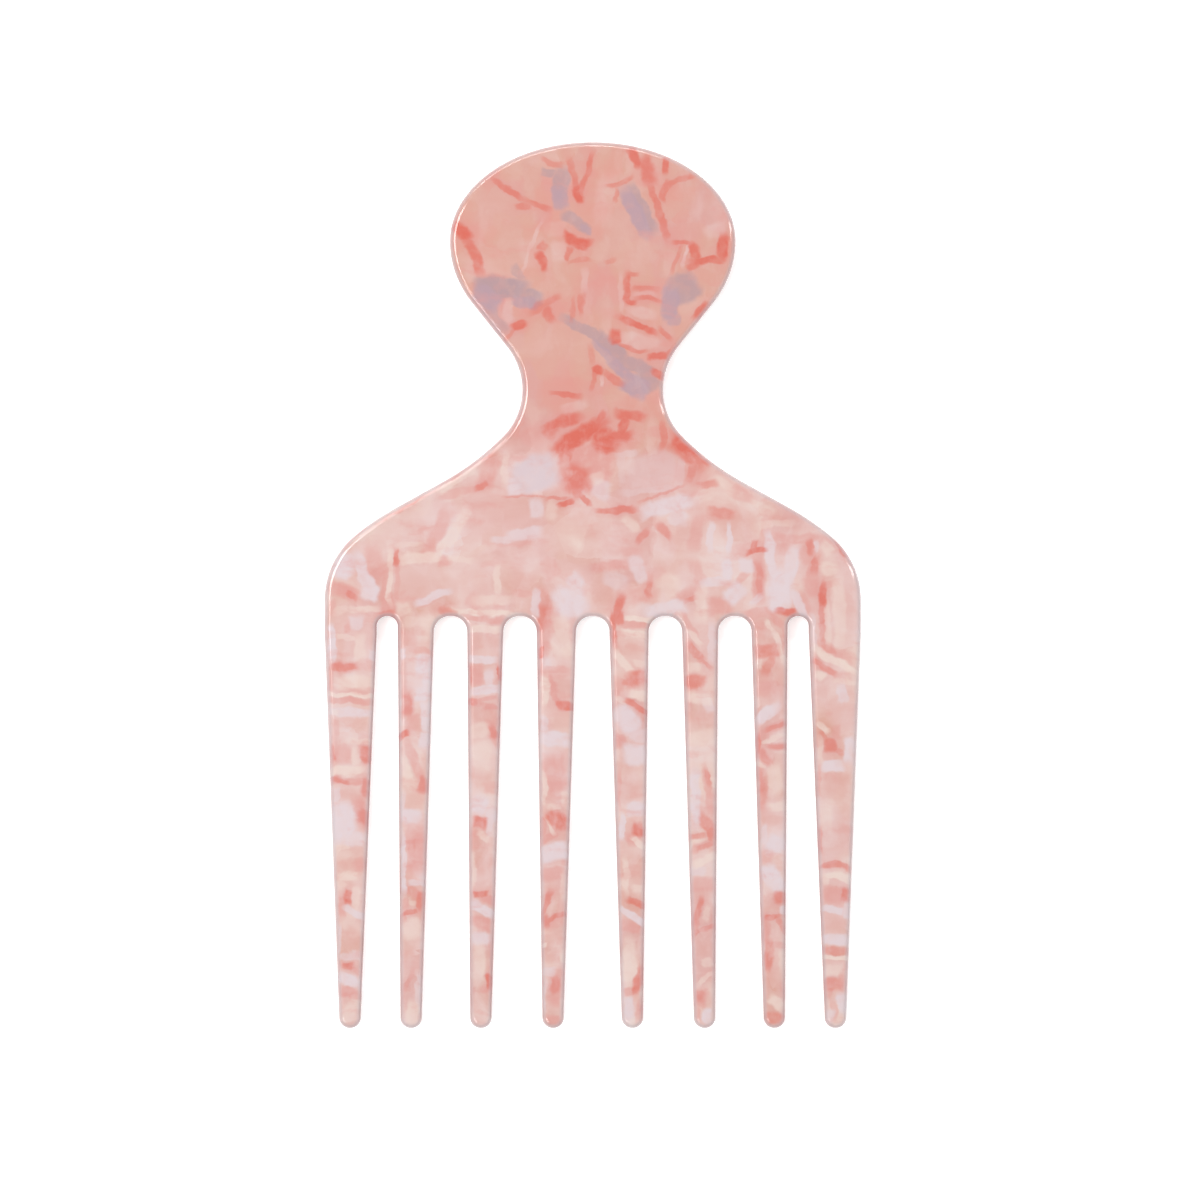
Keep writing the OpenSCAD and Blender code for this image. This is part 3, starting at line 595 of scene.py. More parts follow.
CORAL = (
    # Grip
    (-3, 66.4, 6.4, 1.1, 0.6, -76), (-1.2, 66.8, 8, 1, 0.65, 73, 0.4), (-2.3, 64, 3, 1.4, 0.95, -75),
    (6.8, 70, 3.6, 1.5, 0.9, -55), (9, 67.8, 4.6, 2.3, 0.75, -76), (11.9, 68.8, 3, 1, 0.85, 88),
    (10.8, 61.4, 9, 1.1, 0.7, -72, 0.5), (14, 66.1, 5.2, 1, 0.55, 24), (11.8, 64.5, 3.4, 1.1, 0.65, 72),
    (12, 57.8, 2.2, 1, 0.6, -60), (-6.8, 69.2, 3.4, 1, 0.45, -18), (4.6, 65.6, 4.4, 0.9, 0.6, 24, -0.9),
    (3.8, 63.8, 2.2, 0.7, 0.45, 75), (-13.6, 64.6, 6.4, 0.9, 0.7, -34), (-9.3, 62.3, 5, 1.1, 0.6, -24),
    (-11.4, 62, 2.6, 1.3, 0.6, 10), (-21.7, 58, 4.2, 2, 1, -35), (-20.3, 56.2, 2, 1.4, 0.6, -40),
    (-19.3, 53.8, 5.8, 1.6, 0.8, -68), (-2.7, 56.2, 4.2, 1.6, 1, -14, -0.8),
    (-2.4, 55.7, 2.6, 1.4, 0.9, -30), (-3.9, 54.3, 2.4, 1, 0.65, 80), (-2, 53.2, 3.6, 0.8, 0.35, 4, 0.9),
    (-8.3, 52.9, 3, 1.3, 0.9, -65), (-8.3, 55.3, 1.6, 1.3, 0.55, 60), (14.6, 56, 3.2, 0.9, 0.7, -5),
    (16.7, 54.6, 3.6, 1.4, 0.85, -62), (18.8, 53, 5, 1.2, 0.9, 4), (21.2, 55.2, 4.4, 1.6, 1, 80),
    (16.6, 52.2, 2.4, 1, 0.7, 25), (5.6, 48.8, 4.8, 1.2, 0.8, 88), (6.3, 46.7, 2.2, 0.9, 0.9, -12),
    (6.2, 50.9, 2.2, 0.8, 0.55), (8.6, 48.6, 4.2, 0.8, 0.55, -5), (9.2, 46.8, 4, 0.9, 0.6, -10),
    (-8, 46, 5.6, 1.5, 0.5, 28), (-7.2, 44.3, 2.6, 1.6, 0.65, -55), (-1.8, 46.2, 3.2, 1.1, 0.5, 88),
    (-3.3, 45.2, 4, 0.8, 0.4, 85), (-12.1, 42.4, 2.8, 1.3, 0.9, 18), (-13.8, 41, 3, 0.7, 0.5, 48),
    (17.6, 44.7, 3.2, 1.4, 0.85, 52), (7.2, 42.5, 6.2, 1.2, 0.95, -20), (11.9, 41.2, 3, 0.9, 0.6, -45),
    (3.6, 40.5, 1.6, 2.2, 0.9), (6.2, 38.7, 5.2, 0.9, 0.55, -16, -0.6), (10.7, 37.4, 3.2, 1.2, 0.85, 4),
    (12.8, 38.3, 2.6, 1, 0.65, 50), (0.8, 35.2, 1.4, 1.4, 0.95), (0.1, 33.6, 3.6, 0.8, 0.55, 76),
    (3.2, 33.9, 4.4, 0.9, 0.55, -36), (10.6, 34.5, 2.6, 1.4, 0.9, -42), (-4.4, 31.4, 4.6, 0.9, 0.7, -6),
    (2.8, 53.2, 1.8, 0.7, 0.35, 10), (-0.2, 37.6, 1, 3.2, 0.35, 10), (13.7, 53, 4.6, 0.8, 0.4, 72),
    # Neck and shoulders
    (-30.4, 13.1, 11, 0.6, 0.35, 31), (-20.6, 19, 11, 0.6, 0.3, 30), (-38.8, 8.2, 5.4, 0.6, 0.35, 48),
    (15.6, 21.9, 7, 3.2, 0.8, -36), (-4.9, 26.5, 6.2, 1.9, 0.9, 18), (-6.8, 25.2, 2.6, 2.2, 0.6, 40),
    (-2, 24.5, 9.2, 2.5, 1, 32), (-3.4, 23.3, 6.4, 2, 0.95, 26), (-0.9, 25.2, 5, 2.2, 1, 34),
    (1.2, 27, 2.8, 1.2, 0.8, 60), (1.9, 23.7, 4.2, 3.6, 1, -40), (2.2, 22.6, 2.6, 2.2, 0.85, -60),
    (4.4, 24.3, 4.4, 1.6, 0.85, 6), (5, 26, 3.8, 1.5, 0.9, 84), (6, 27.7, 4.6, 1.6, 0.85, -6),
    (-4.6, 21.2, 1.8, 3.4, 0.7, -14), (15.2, 22.7, 5.2, 2.8, 1, -36), (17.6, 20.6, 3, 1.2, 0.75, -42),
    (11.5, 24.6, 1.1, 4, 0.55), (-2.9, 17.5, 4.6, 4.4, 0.85, -6), (-2.5, 15.2, 1.7, 2.4, 0.65, 10),
    (-4.4, 13.6, 2.8, 1, 0.85, 24), (-1.2, 13.8, 2.6, 0.9, 0.65, -42), (3.8, 12.3, 6.6, 1.1, 0.7, 5),
    (8.1, 8, 3.2, 1.3, 0.5, 54), (11.8, 8.8, 3, 1.3, 0.5, -46), (21, 11.8, 4.4, 1.9, 0.5, -8),
    (-18.4, 16.1, 2.4, 1.1, 0.6, 28), (18.8, 16.4, 3.2, 1.4, 0.5, 8), (16.3, 18.6, 1.2, 3.4, 0.4, -20),
    (-5.6, 14.3, 4, 0.5, 0.5, 8), (11.4, 14.9, 7.4, 0.5, 0.4, 20), (-11, 14.3, 7, 0.4, 0.35, -2),
    (-32.2, 4.8, 1, 2.6, 0.75), (-39.5, -1.7, 2, 1.1, 0.7, -20), (-23.6, -4.3, 2.6, 1.2, 0.5, -10),
    (-33.8, -4.6, 2.6, 1.1, 0.5), (-7.8, -5.2, 2.2, 4, 0.65), (4.2, -3.9, 4.2, 1.4, 0.85, 70),
    (9.3, -0.6, 1.1, 2.6, 0.5), (26.9, 5.6, 3.2, 1.1, 0.8, 4), (26.3, 6.5, 1, 2, 0.75),
    (27.2, 0.6, 1, 5, 0.35), (35.6, 6.2, 1.4, 2.4, 0.5, 20), (36.6, 3.4, 3.2, 1, 0.5, 76),
    (37.7, -1.6, 1.2, 3.8, 0.9, -4), (37.5, -6, 0.8, 7.6, 0.5, 1), (31.8, -4.4, 3.4, 1.2, 0.9, -6),
    (40.6, 5.9, 3.8, 0.9, 0.85, -55), (16.2, -2.4, 2.2, 1, 0.4, 20),
    # Left teeth
    (-40.6, -13.4, 3.6, 1, 0.6, -2), (-42.6, -27.6, 0.9, 2.6, 0.75), (-37, -27.7, 1.5, 2.6, 1),
    (-41.6, -31.8, 3.4, 0.9, 0.6, -14), (-37.2, -33, 1.2, 3.2, 0.5), (-37.3, -38, 3, 1.4, 0.5, -66),
    (-40.1, -51, 1.5, 2.4, 1), (-40.1, -62.3, 2.2, 1.2, 0.8), (-40.2, -7, 1, 1.7, 0.35),
    (-30.2, -19.4, 1.3, 3.8, 0.5), (-31.1, -24.6, 1.9, 1.3, 1, 18), (-27.8, -32.8, 1.4, 2.4, 0.85, -16),
    (-28.2, -51.8, 1.1, 3.4, 0.7, 8), (-29.9, -53.6, 2.8, 0.8, 0.75, 8), (-29.6, -43, 1.2, 3, 0.3),
    (-20.1, -14.6, 0.6, 3, 0.6), (-15.2, -14.3, 0.7, 2.4, 1), (-19.7, -19.1, 1.6, 1.2, 0.85),
    (-16.1, -24.2, 2.6, 1.1, 0.5, -68), (-18.5, -38.8, 2.3, 2, 0.95, -10), (-18.3, -50.6, 2, 1.2, 0.9),
    (-16.9, -64.8, 1, 2.8, 0.98), (-8.3, -6.2, 2, 2.6, 0.55), (-8.6, -11.1, 1.2, 1.6, 1),
    (-4.4, -19.8, 2.8, 1.7, 1, 4), (-5.9, -38.3, 3.8, 2.4, 0.95, -32), (-7.5, -52, 4.6, 1, 0.75, 70),
    (-6, -54.3, 3.8, 0.9, 0.75, 26), (-7.8, -54.8, 1.4, 2.2, 0.6), (-6.2, -65.4, 1.5, 2.8, 0.5),
    # Right teeth
    (3.4, -7.2, 1.3, 5.2, 0.9), (4.2, -5.2, 1.7, 2.4, 0.8), (7.2, -15.3, 3.4, 2.6, 0.85, 16),
    (5.8, -15.8, 2, 1.1, 0.75, -6), (7.4, -19.9, 4.8, 1.1, 0.95, -32), (7.3, -39.9, 1.8, 2, 1),
    (7.3, -51.9, 3.4, 1, 0.8, -24), (7.4, -64.8, 4.6, 1.3, 0.9, 82), (8, -70, 3, 0.8, 0.4, 80),
    (16.9, -10.9, 3.8, 1, 0.65, -50), (18.3, -12.9, 2.4, 0.7, 0.5, -32), (16.5, -15.7, 3.8, 2, 0.8),
    (18.7, -31.4, 2.6, 0.8, 0.5, -80), (19, -39.8, 4.6, 1.6, 0.8, -62), (17, -40.9, 3.2, 1, 0.55),
    (18.4, -42.7, 3, 0.8, 0.45, 26), (17.2, -53.4, 4.4, 1.2, 0.7, 68), (16.7, -55.7, 1.2, 2.6, 0.65),
    (18.2, -56.5, 3.8, 0.9, 0.6, 22), (17.6, -67, 1.3, 1.8, 0.45), (28.5, -10.8, 4, 2, 0.75, 8),
    (26.7, -11, 1.1, 2, 0.6), (28.8, -12.8, 4.2, 1.2, 0.6, 72), (27, -26, 1, 3.6, 0.8),
    (28.1, -28, 3.2, 1.3, 0.55, -62), (30, -23.2, 3.2, 0.8, 0.5, 22), (30.2, -26.1, 2.8, 0.8, 0.4, -3),
    (27.9, -33.6, 1.4, 6, 0.5), (30.7, -51.2, 2.4, 1.8, 0.75, 4), (29.3, -54.4, 2.4, 1, 0.85, 4),
    (31, -55.9, 2.8, 0.8, 0.55, -58), (28.7, -60.6, 1.6, 4.8, 0.75, -4), (29.8, -70.8, 3, 2.2, 0.6),
    (36.7, -12.5, 2.4, 1.1, 0.5, -18), (38.5, -13.9, 3.4, 1.2, 0.65, -40), (38.4, -10.2, 3, 0.8, 0.3, -20),
    (38.9, -26.2, 1.8, 2, 0.8), (40, -27.1, 2.2, 0.9, 0.45, -38), (38, -24.9, 1.8, 0.7, 0.5, -42),
    (37.1, -41.6, 0.8, 3.8, 0.7), (39.6, -45.8, 5, 1, 0.75, -8, 0.8), (41.4, -50.6, 1.4, 2.4, 0.75),
    (39.7, -59.7, 4.8, 1.2, 0.55), (39, -65.4, 3.4, 2, 0.6),
)

# Each kind of mark: its list and tint, its spread, the share of the spread that its border takes on each
# side, its root, and how much it covers of what is under it, in the teeth and above them. A root of 2 gives
# ellipses, and a greater one square shoulders. The first coral row is the soft glow round the coral marks.
MARKS = (
    (PALE, "shell", 1.0, 0.35, 4, 1.0, 1.0),
    (ROSE, "blush", 1.0, 0.55, 2, 0.85, 0.9),
    (CORAL, "salmon", 1.9, 0.6, 2, 0.36, 0.42),
    (SALMON, "salmon", 1.0, 0.5, 3, 0.76, 0.84),
    (PEARL, "pearl", 1.0, 0.3, 4, 0.95, 0.95),
    (CREAM, "cream", 1.0, 0.35, 4, 0.85, 0.85),
    (MAUVE, "mauve", 1.0, 0.25, 4, 1.0, 1.0),
    (LILAC, "lilac", 1.0, 0.25, 4, 1.0, 1.0),
    (CORAL, "coral", 1.0, 0.5, 3, 0.74, 0.9),
)
# How far past its own half size a mark is looked for, in millimetres.
MARK_MARGIN = 2.5

# The ground's chips in three sizes, from the broad ones to the small: their sides in millimetres, their
# turn in degrees, where their pattern starts, how soft their borders are, how far their depth leans from
# side to side, the share of them that shows and how much one covers. Before them the ground has no depth
# and middling warmth.
BARE_GROUND = (0.0, 0.5, 0.0, 1.0)
CHIPS = (
    dict(size=(9, 7), turn=25, offset=(3, 8, 0), soft=0.5, lean=1.2),
    dict(size=(5, 7), turn=-30, offset=(11, 2, 0), soft=0.35, lean=1.6, share=0.5, cover=0.8),
    dict(size=(3, 4.5), turn=60, offset=(5, 17, 0), soft=0.3, lean=1.6, share=0.35, cover=0.7),
)
# Tints of the ground with the tone at which each is reached, from the deepest to the palest.
COOL = ((0.0, "coral"), (0.37, "salmon"), (0.52, "rose"), (0.73, "petal"), (0.85, "shell"), (1.0, "pearl"))
WARM = ((0.0, "coral"), (0.37, "terracotta"), (0.52, "peach"), (0.73, "biscuit"), (1.0, "cream"))

# Pairs for the shoulders and teeth, given first, and for the grip, which is closer and deeper: depth of the
# folds, spread and level of the tone, warmth from which a chip is fully warm, and cover of the pale veils.
FOLD_DEPTH = (2.2, 1.2)
TONE_SPREAD = (0.17, 0.11)
TONE_LEVEL = (0.75, 0.52)
FULLY_WARM = (1.0, 0.6)
PALE_VEIL_COVER = (0.4, 0.15)
# Heights in millimetres between which the shoulders pass into the grip, and the teeth into the shoulders. A
# noise of the given scale lifts the place by up to the given reach first.
GRIP_HEIGHTS = (20.0, 35.0)
SHOULDER_HEIGHTS = (-10.0, 12.0)
HEIGHT_SCALE = 0.1
HEIGHT_REACH = 10.0

# Height of the front face, on which the marks are placed, and how far the marbling moves along X and Y for
# each millimetre up through the sheet.
FRONT = 4.0
SLANT = (0.5, -0.35)
# Wander of the ground and of the marks' borders: waves to the millimetre, detail and reach in millimetres.
BROAD_WANDER = (0.12, 1.0, 1.6)
FINE_WANDER = (0.7, 2.0, 0.4)
RAGGED_WANDER = (0.35, 3.0, 0.95)
# Turn in degrees of the folds and veils, and their waves to the millimetre along each turned axis.
FOLDS = (20, 0.1, 0.4)
PALE_VEIL = (-15, 0.35, 0.12)
ROSY_VEIL = (30, 0.12, 0.4)
# Noise between which a veil goes from none to all of its cover.
PALE_VEIL_RANGE = (0.5, 0.75)
ROSY_VEIL_RANGE = (0.52, 0.8)
ROSY_VEIL_COVER = 0.5
# The marks are thinned in clouds: waves to the millimetre, range of the noise, and how much of a mark is left
# at each end of it.
CLOUD_SCALE = 0.5
CLOUD_RANGE = (0.3, 0.56)
CLOUD_LEFT = (0.72, 1.0)
# Detail of every noise that isn't made plainer.
DETAIL = 3.0

# The rim runs from 0 on the flats to 1 on the walls. The edge takes on its tint, a painted shade, over the
# first range and gives it up again over the second, down to the share of painted shade that the walls keep.
EDGE_SHADE_RANGE = (0.1, 0.8)
EDGE_SHADE_COVER = 0.45
WALL_SHADE_RANGE = (0.9, 1.0)
WALL_SHADE_COVER = 0.25

# Polish: waves to the millimetre, how far its roughness varies, strength and height in metres of its waves,
# roughness of the clear top layer and the refraction of acetate.
POLISH_SCALE = 1.3
ROUGHNESS_SPREAD = 0.05
WAVE_STRENGTH = 0.04
WAVE_HEIGHT = 0.0002
TOP_ROUGHNESS = 0.04
ACETATE_IOR = 1.48


class Net:
    """Adds shader nodes to one tree and joins them. Each call gives back the output that goes on."""

    def __init__(self, tree):
        self.tree = tree
        tree.nodes.clear()

    def node(self, kind, inputs=(), **settings):
        """One node. Inputs go by name or number, and each is a plain value or another node's output."""
        made = self.tree.nodes.new(kind)
        for key, value in settings.items():
            setattr(made, key, value)
        for key, value in dict(inputs).items():
            if isinstance(value, bpy.types.NodeSocket):
                self.tree.links.new(value, made.inputs[key])
            else:
                made.inputs[key].default_value = value
        return made

    def math(self, operation, *values):
        """One sum on numbers."""
        return self.node("ShaderNodeMath", enumerate(values), operation=operation).outputs[0]

    def vector(self, operation, *values, out="Vector"):
        """One sum on vectors. One that gives a number has it in Value."""
        return self.node("ShaderNodeVectorMath", enumerate(values), operation=operation).outputs[out]

    def scaled(self, vector, factor):
        """Vector times a number."""
        made = self.node("ShaderNodeVectorMath", {0: vector, "Scale": factor}, operation="SCALE")
        return made.outputs["Vector"]

    def dot(self, first, second):
        """Dot product."""
        return self.vector("DOT_PRODUCT", first, second, out="Value")

    def parts(self, vector):
        """X, Y and Z of a vector."""
        return self.node("ShaderNodeSeparateXYZ", {0: vector}).outputs

    def smooth(self, value, low, high, start=0.0, end=1.0):
        """Smooth step from start at low to end at high, unclamped to save the renderer's stack."""
        inputs = {"Value": value, "From Min": low, "From Max": high, "To Min": start, "To Max": end}
        made = self.node("ShaderNodeMapRange", inputs, interpolation_type="SMOOTHSTEP", clamp=False)
        return made.outputs["Result"]

    def noise(self, place, scale, detail=2.0):
        """Soft noise between 0 and 1."""
        return self.node("ShaderNodeTexNoise", {"Vector": place, "Scale": scale, "Detail": detail}).outputs[0]

    def wander(self, place, scale, detail, reach):
        """Vector whose three parts are soft noise between minus the reach and the reach."""
        made = self.node("ShaderNodeTexNoise", {"Vector": place, "Scale": scale, "Detail": detail}).outputs[1]
        return self.scaled(self.vector("MULTIPLY_ADD", made, (2, 2, 2), (-1, -1, -1)), reach)

    def streaks(self, place, turn, along, across):
        """Soft noise between 0 and 1, turned by degrees and stretched by its waves along each axis."""
        return self.noise(self.mapped(place, turn=turn, scale=(along, across, 1)), 1.0, DETAIL)

    def blend(self, start, end, factor):
        """Number between start and end. A Mix node has its numbers at 2 and 3."""
        return self.node("ShaderNodeMix", {0: factor, 2: start, 3: end}, data_type="FLOAT").outputs[0]

    def tinted(self, start, end, factor):
        """Colour between start and end. A Mix node has its colours at 6 and 7, and gives one at 2."""
        return self.node("ShaderNodeMix", {0: factor, 6: start, 7: end}, data_type="RGBA").outputs[2]

    def ramp(self, value, stops):
        """Colour ramp over the given pairs of place and colour."""
        made = self.node("ShaderNodeValToRGB", {0: value})
        elements = made.color_ramp.elements
        elements.remove(elements[1])
        elements[0].position = stops[0][0]
        elements[0].color = stops[0][1]
        for place, colour in stops[1:]:
            elements.new(place).color = colour
        return made.outputs[0]

    def mapped(self, place, turn, scale, location=(0, 0, 0)):
        """Place through a Mapping node that turns it about Z, by degrees."""
        inputs = {"Vector": place, "Location": location, "Rotation": (0, 0, np.radians(turn)), "Scale": scale}
        return self.node("ShaderNodeMapping", inputs).outputs[0]


def mosaic(net, place, under, size, turn, offset, soft, lean, share=1.0, cover=1.0):
    """Chips laid over the ground so far, which is a vector of depth and warmth.

    The place is turned and divided by the chips' size, and each cell of it is a chip. A share of them shows.
    A chip's depth is between -1 and 1 and leans from one side of it to the other, and its warmth is between
    0 and 1. Near its border a chip passes softly into the next one.
    """
    spot = net.mapped(place, turn=turn, scale=(1 / size[0], 1 / size[1], 0), location=offset)
    cells = [net.node("ShaderNodeTexVoronoi", {"Vector": spot, "Scale": 1.0}, feature=feature,
                      voronoi_dimensions="2D").outputs for feature in ("F1", "F2")]
    laid = []
    for cell in cells:
        chance = cell["Color"]
        way = net.vector("SUBTRACT", chance, (0.5, 0.5, 0.5))
        across = net.dot(net.vector("SUBTRACT", spot, cell["Position"]), way)
        own = net.vector("MULTIPLY_ADD", chance, (2, 1, 0), (-1, 0, 0))
        own = net.vector("ADD", own, net.scaled((lean, 0, 0), across))
        shows = net.math("MULTIPLY", net.math("LESS_THAN", net.parts(chance)[2], share), cover)
        laid.append(net.tinted(under, own, shows))
    apart = net.math("SUBTRACT", cells[1]["Distance"], cells[0]["Distance"])
    return net.tinted(laid[1], laid[0], net.smooth(apart, 0.0, soft, 0.5, 1.0))


def ground(net, place, grip, colour):
    """Ground of the marbling: chips and folds give a tone and a warmth, and these two a tint."""
    state = BARE_GROUND
    for chips in CHIPS:
        state = mosaic(net, place, state, **chips)
    depth, warmth, _ = net.parts(state)
    fold = net.math("SUBTRACT", net.streaks(place, *FOLDS), 0.5)
    tone = net.math("MULTIPLY_ADD", fold, net.blend(*FOLD_DEPTH, grip), depth)
    tone = net.math("MULTIPLY_ADD", tone, net.blend(*TONE_SPREAD, grip), net.blend(*TONE_LEVEL, grip))
    cool, warm = (net.ramp(tone, [(at, colour[tint]) for at, tint in stops]) for stops in (COOL, WARM))
    return net.tinted(cool, warm, net.smooth(warmth, 0.0, net.blend(*FULLY_WARM, grip)))


def mark_group(spread, soft, root):
    """Node group of one mark, made once: the greater of the level so far and the mark's own.

    Along and Across are dotted with a place whose third part is 1, which gives u and v, the place in half
    sizes from the mark's middle. Bow times the square of u is first added to v. For a root of 2 the squares
    of u and v are summed, for a greater one their fourth powers, and the root is taken of the sum. The mark
    is where that is less than its spread, up to a border with a soft share of it on each side.
    """
    name = f"mark_{spread}_{soft}_{root}"
    if name in bpy.data.node_groups:
        return bpy.data.node_groups[name]
    tree = bpy.data.node_groups.new(name, "ShaderNodeTree")
    for label in ("Place", "Along", "Across"):
        tree.interface.new_socket(name=label, in_out="INPUT", socket_type="NodeSocketVector")
    for label in ("Bow", "Strength", "Level"):
        tree.interface.new_socket(name=label, in_out="INPUT", socket_type="NodeSocketFloat")
    tree.interface.new_socket(name="Level", in_out="OUTPUT", socket_type="NodeSocketFloat")
    net = Net(tree)
    given = net.node("NodeGroupInput").outputs
    u = net.dot(given["Place"], given["Along"])
    v = net.dot(given["Place"], given["Across"])
    power_u = net.math("MULTIPLY", u, u)
    v = net.math("MULTIPLY_ADD", power_u, given["Bow"], v)
    power_v = net.math("MULTIPLY", v, v)
    if root > 2:
        power_u = net.math("MULTIPLY", power_u, power_u)
        power_v = net.math("MULTIPLY", power_v, power_v)
    away = net.math("POWER", net.math("ADD", power_u, power_v), 1 / root)
    own = net.smooth(away, spread * (1 + soft), spread * (1 - soft))
    own = net.math("MULTIPLY", own, given["Strength"])
    net.node("NodeGroupOutput", {0: net.math("MAXIMUM", own, given["Level"])})
    return tree


def marked(net, place, marks, group):
    """Greatest level of the given marks at a place whose third part is 1."""
    level = 0.0
    for x, y, long, wide, strength, *rest in marks:
        turn, bow = (*rest, 0.0, 0.0)[:2]
        cosine, sine = np.cos(np.radians(turn)), np.sin(np.radians(turn))
        level = net.node("ShaderNodeGroup", {
            "Place": place, "Along": np.array([cosine, sine, -cosine * x - sine * y]) * 2 / long,
            "Across": np.array([-sine, cosine, sine * x - cosine * y]) * 2 / wide,
            "Bow": bow, "Strength": strength, "Level": level}, node_tree=group).outputs[0]
    return level


def reaches(mark, box, spread):
    """Whether a mark reaches a box, which is its low and high corner in millimetres."""
    reach = spread * np.hypot(mark[2], mark[3]) / 2 + MARK_MARGIN
    return all(low - reach < at < high + reach for at, low, high in zip(mark[:2], *box))


def with_marks(net, surface, place, cloud, above, box, colour):
    """Surface with marks of every kind over it, those that reach a box, thinned by the cloud. Above is 0 in
    the teeth and 1 above them."""
    for marks, tint, spread, soft, root, *cover in MARKS:
        here = [mark for mark in marks if reaches(mark, box, spread * (1.0 + soft))]
        if here:
            level = net.math("MULTIPLY", marked(net, place, here, mark_group(spread, soft, root)), cloud)
            level = net.math("MULTIPLY", level, net.blend(*cover, above))
            surface = net.tinted(surface, colour[tint], level)
    return surface


def veiled(net, surface, place, grip, colour):
    """Surface with satin veils over it, some pale and some rosy."""
    pale = net.smooth(net.streaks(place, *PALE_VEIL), *PALE_VEIL_RANGE)
    pale = net.math("MULTIPLY", pale, net.blend(*PALE_VEIL_COVER, grip))
    surface = net.tinted(surface, colour["shell"], pale)
    rosy = net.smooth(net.streaks(place, *ROSY_VEIL), *ROSY_VEIL_RANGE, 0.0, ROSY_VEIL_COVER)
    return net.tinted(surface, colour["salmon"], rosy)


def with_painted_rim_shade(net, surface, colour):
    """Surface whose rounded edge leans to the rim's tint: painted shade, darker and greyer along the edges.
    """
    rim = net.node("ShaderNodeAttribute", attribute_name=RIM).outputs["Fac"]
    edge = net.math("MULTIPLY", net.smooth(rim, *EDGE_SHADE_RANGE, 0.0, EDGE_SHADE_COVER),
                    net.smooth(rim, *WALL_SHADE_RANGE, 1.0, WALL_SHADE_COVER))
    return net.tinted(surface, colour["rim"], edge)


def polished(net, surface, place, roughness):
    """Glossy acetate of the surface's colour under a clear top layer, with very slight waves."""
    waves = net.noise(place, POLISH_SCALE, DETAIL)
    varied = net.math("MULTIPLY_ADD", waves, ROUGHNESS_SPREAD, roughness - ROUGHNESS_SPREAD / 2)
    bump = net.node("ShaderNodeBump", {"Strength": WAVE_STRENGTH, "Distance": WAVE_HEIGHT, "Height": waves})
    return net.node("ShaderNodeBsdfPrincipled", {
        "Base Color": surface, "Roughness": varied, "Normal": bump.outputs[0], "IOR": ACETATE_IOR,
        "Coat Weight": 1.0, "Coat Roughness": TOP_ROUGHNESS, "Coat IOR": ACETATE_IOR}).outputs[0]


def marbled_acetate(tints, node):
    """Polished acetate sheet for one piece. The marbling goes down through the sheet on a slant, and runs on
    from piece to piece. The ground lies on a bent place, and the marks on a ragged one."""
    material = bpy.data.materials.new(FINISH + "_" + node)
    material.use_nodes = True
    net = Net(material.node_tree)
    colour = {
        name: (*getattr(tints, name), 1.0) for name in AcetateTints.__annotations__ if name != "roughness"}

    plain = net.scaled(net.node("ShaderNodeTexCoord").outputs["Object"], MILLIMETRES)
    depth = net.math("SUBTRACT", net.parts(plain)[2], FRONT)
    slant = net.node("ShaderNodeCombineXYZ", enumerate(net.math("MULTIPLY", depth, lean) for lean in SLANT))
    place = net.vector("MULTIPLY", net.vector("ADD", plain, slant.outputs[0]), (1, 1, 0))
    bent = net.vector("ADD", place, net.wander(place, *BROAD_WANDER))
    bent = net.vector("ADD", bent, net.wander(place, *FINE_WANDER))
    ragged = net.vector("ADD", place, net.wander(place, *RAGGED_WANDER))
    ragged = net.vector("ADD", net.vector("MULTIPLY", ragged, (1, 1, 0)), (0, 0, 1))

    height = net.math("MULTIPLY_ADD", net.noise(place, HEIGHT_SCALE), HEIGHT_REACH, net.parts(place)[1])
    grip = net.smooth(height, *GRIP_HEIGHTS)
    above = net.smooth(height, *SHOULDER_HEIGHTS)
    cloud = net.smooth(net.noise(place, CLOUD_SCALE, DETAIL), *CLOUD_RANGE, *CLOUD_LEFT)
    box = [[MILLIMETRES * corner.x, MILLIMETRES * corner.y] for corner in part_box(node)]

    surface = ground(net, bent, grip, colour)
    surface = with_marks(net, surface, ragged, cloud, above, box, colour)
    surface = veiled(net, surface, bent, grip, colour)
    # Painted shade along the rounded edges and walls.
    surface = with_painted_rim_shade(net, surface, colour)
    net.node("ShaderNodeOutputMaterial", {0: polished(net, surface, plain, tints.roughness)})
    return material


# Stage, in metres

# Each lamp's name, place, width and height. Its power is the level of the same name.
LAMPS = (
    ("key", (-0.36, 0.14, 0.9), 0.26, 0.5),
    ("fill", (0.55, -0.75, 0.75), 1.6, 1.2),
    ("crown", (-0.17, 0.76, 0.82), 0.95, 0.09),
    ("side", (-0.5, -0.37, 0.9), 0.42, 0.12),
    ("strip", (0.7, 0.25, 0.75), 0.1, 0.8),
)
# Round floor, a hair below the comb, and its grain: waves to the metre, tint and the most that it covers.
FLOOR_RADIUS = 2.5
FLOOR_CORNERS = 96
FLOOR_HEIGHT = -0.00005
FLOOR_ROUGHNESS = 0.8
GRAIN_SCALE = 60.0
GRAIN_TINT = (0.9, 0.9, 0.9, 1.0)
GRAIN_COVER = 0.1
# Distances from the comb between which the floor's own glow grows, and the glow at each.
GLOW_REACH = (0.25, 1.2)
GLOW_LEVELS = (0.55, 1.0)
# Height of a direction, from 0 at the horizon to 1 overhead, between which the room's picture dims.
DIM_HEIGHTS = (0.5, 0.95)
WHITE = (1.0, 1.0, 1.0, 1.0)
# Camera straight above the comb: width of its sensor and length of its lens in millimetres, width of what it
# sees at the height of its aim, and that aim.
SENSOR = 36.0
LENS = 200.0
FIELD = 0.19644
AIM = (0.001195, -0.002447, 0.003)
NEAREST = 0.01
FARTHEST = 20.0


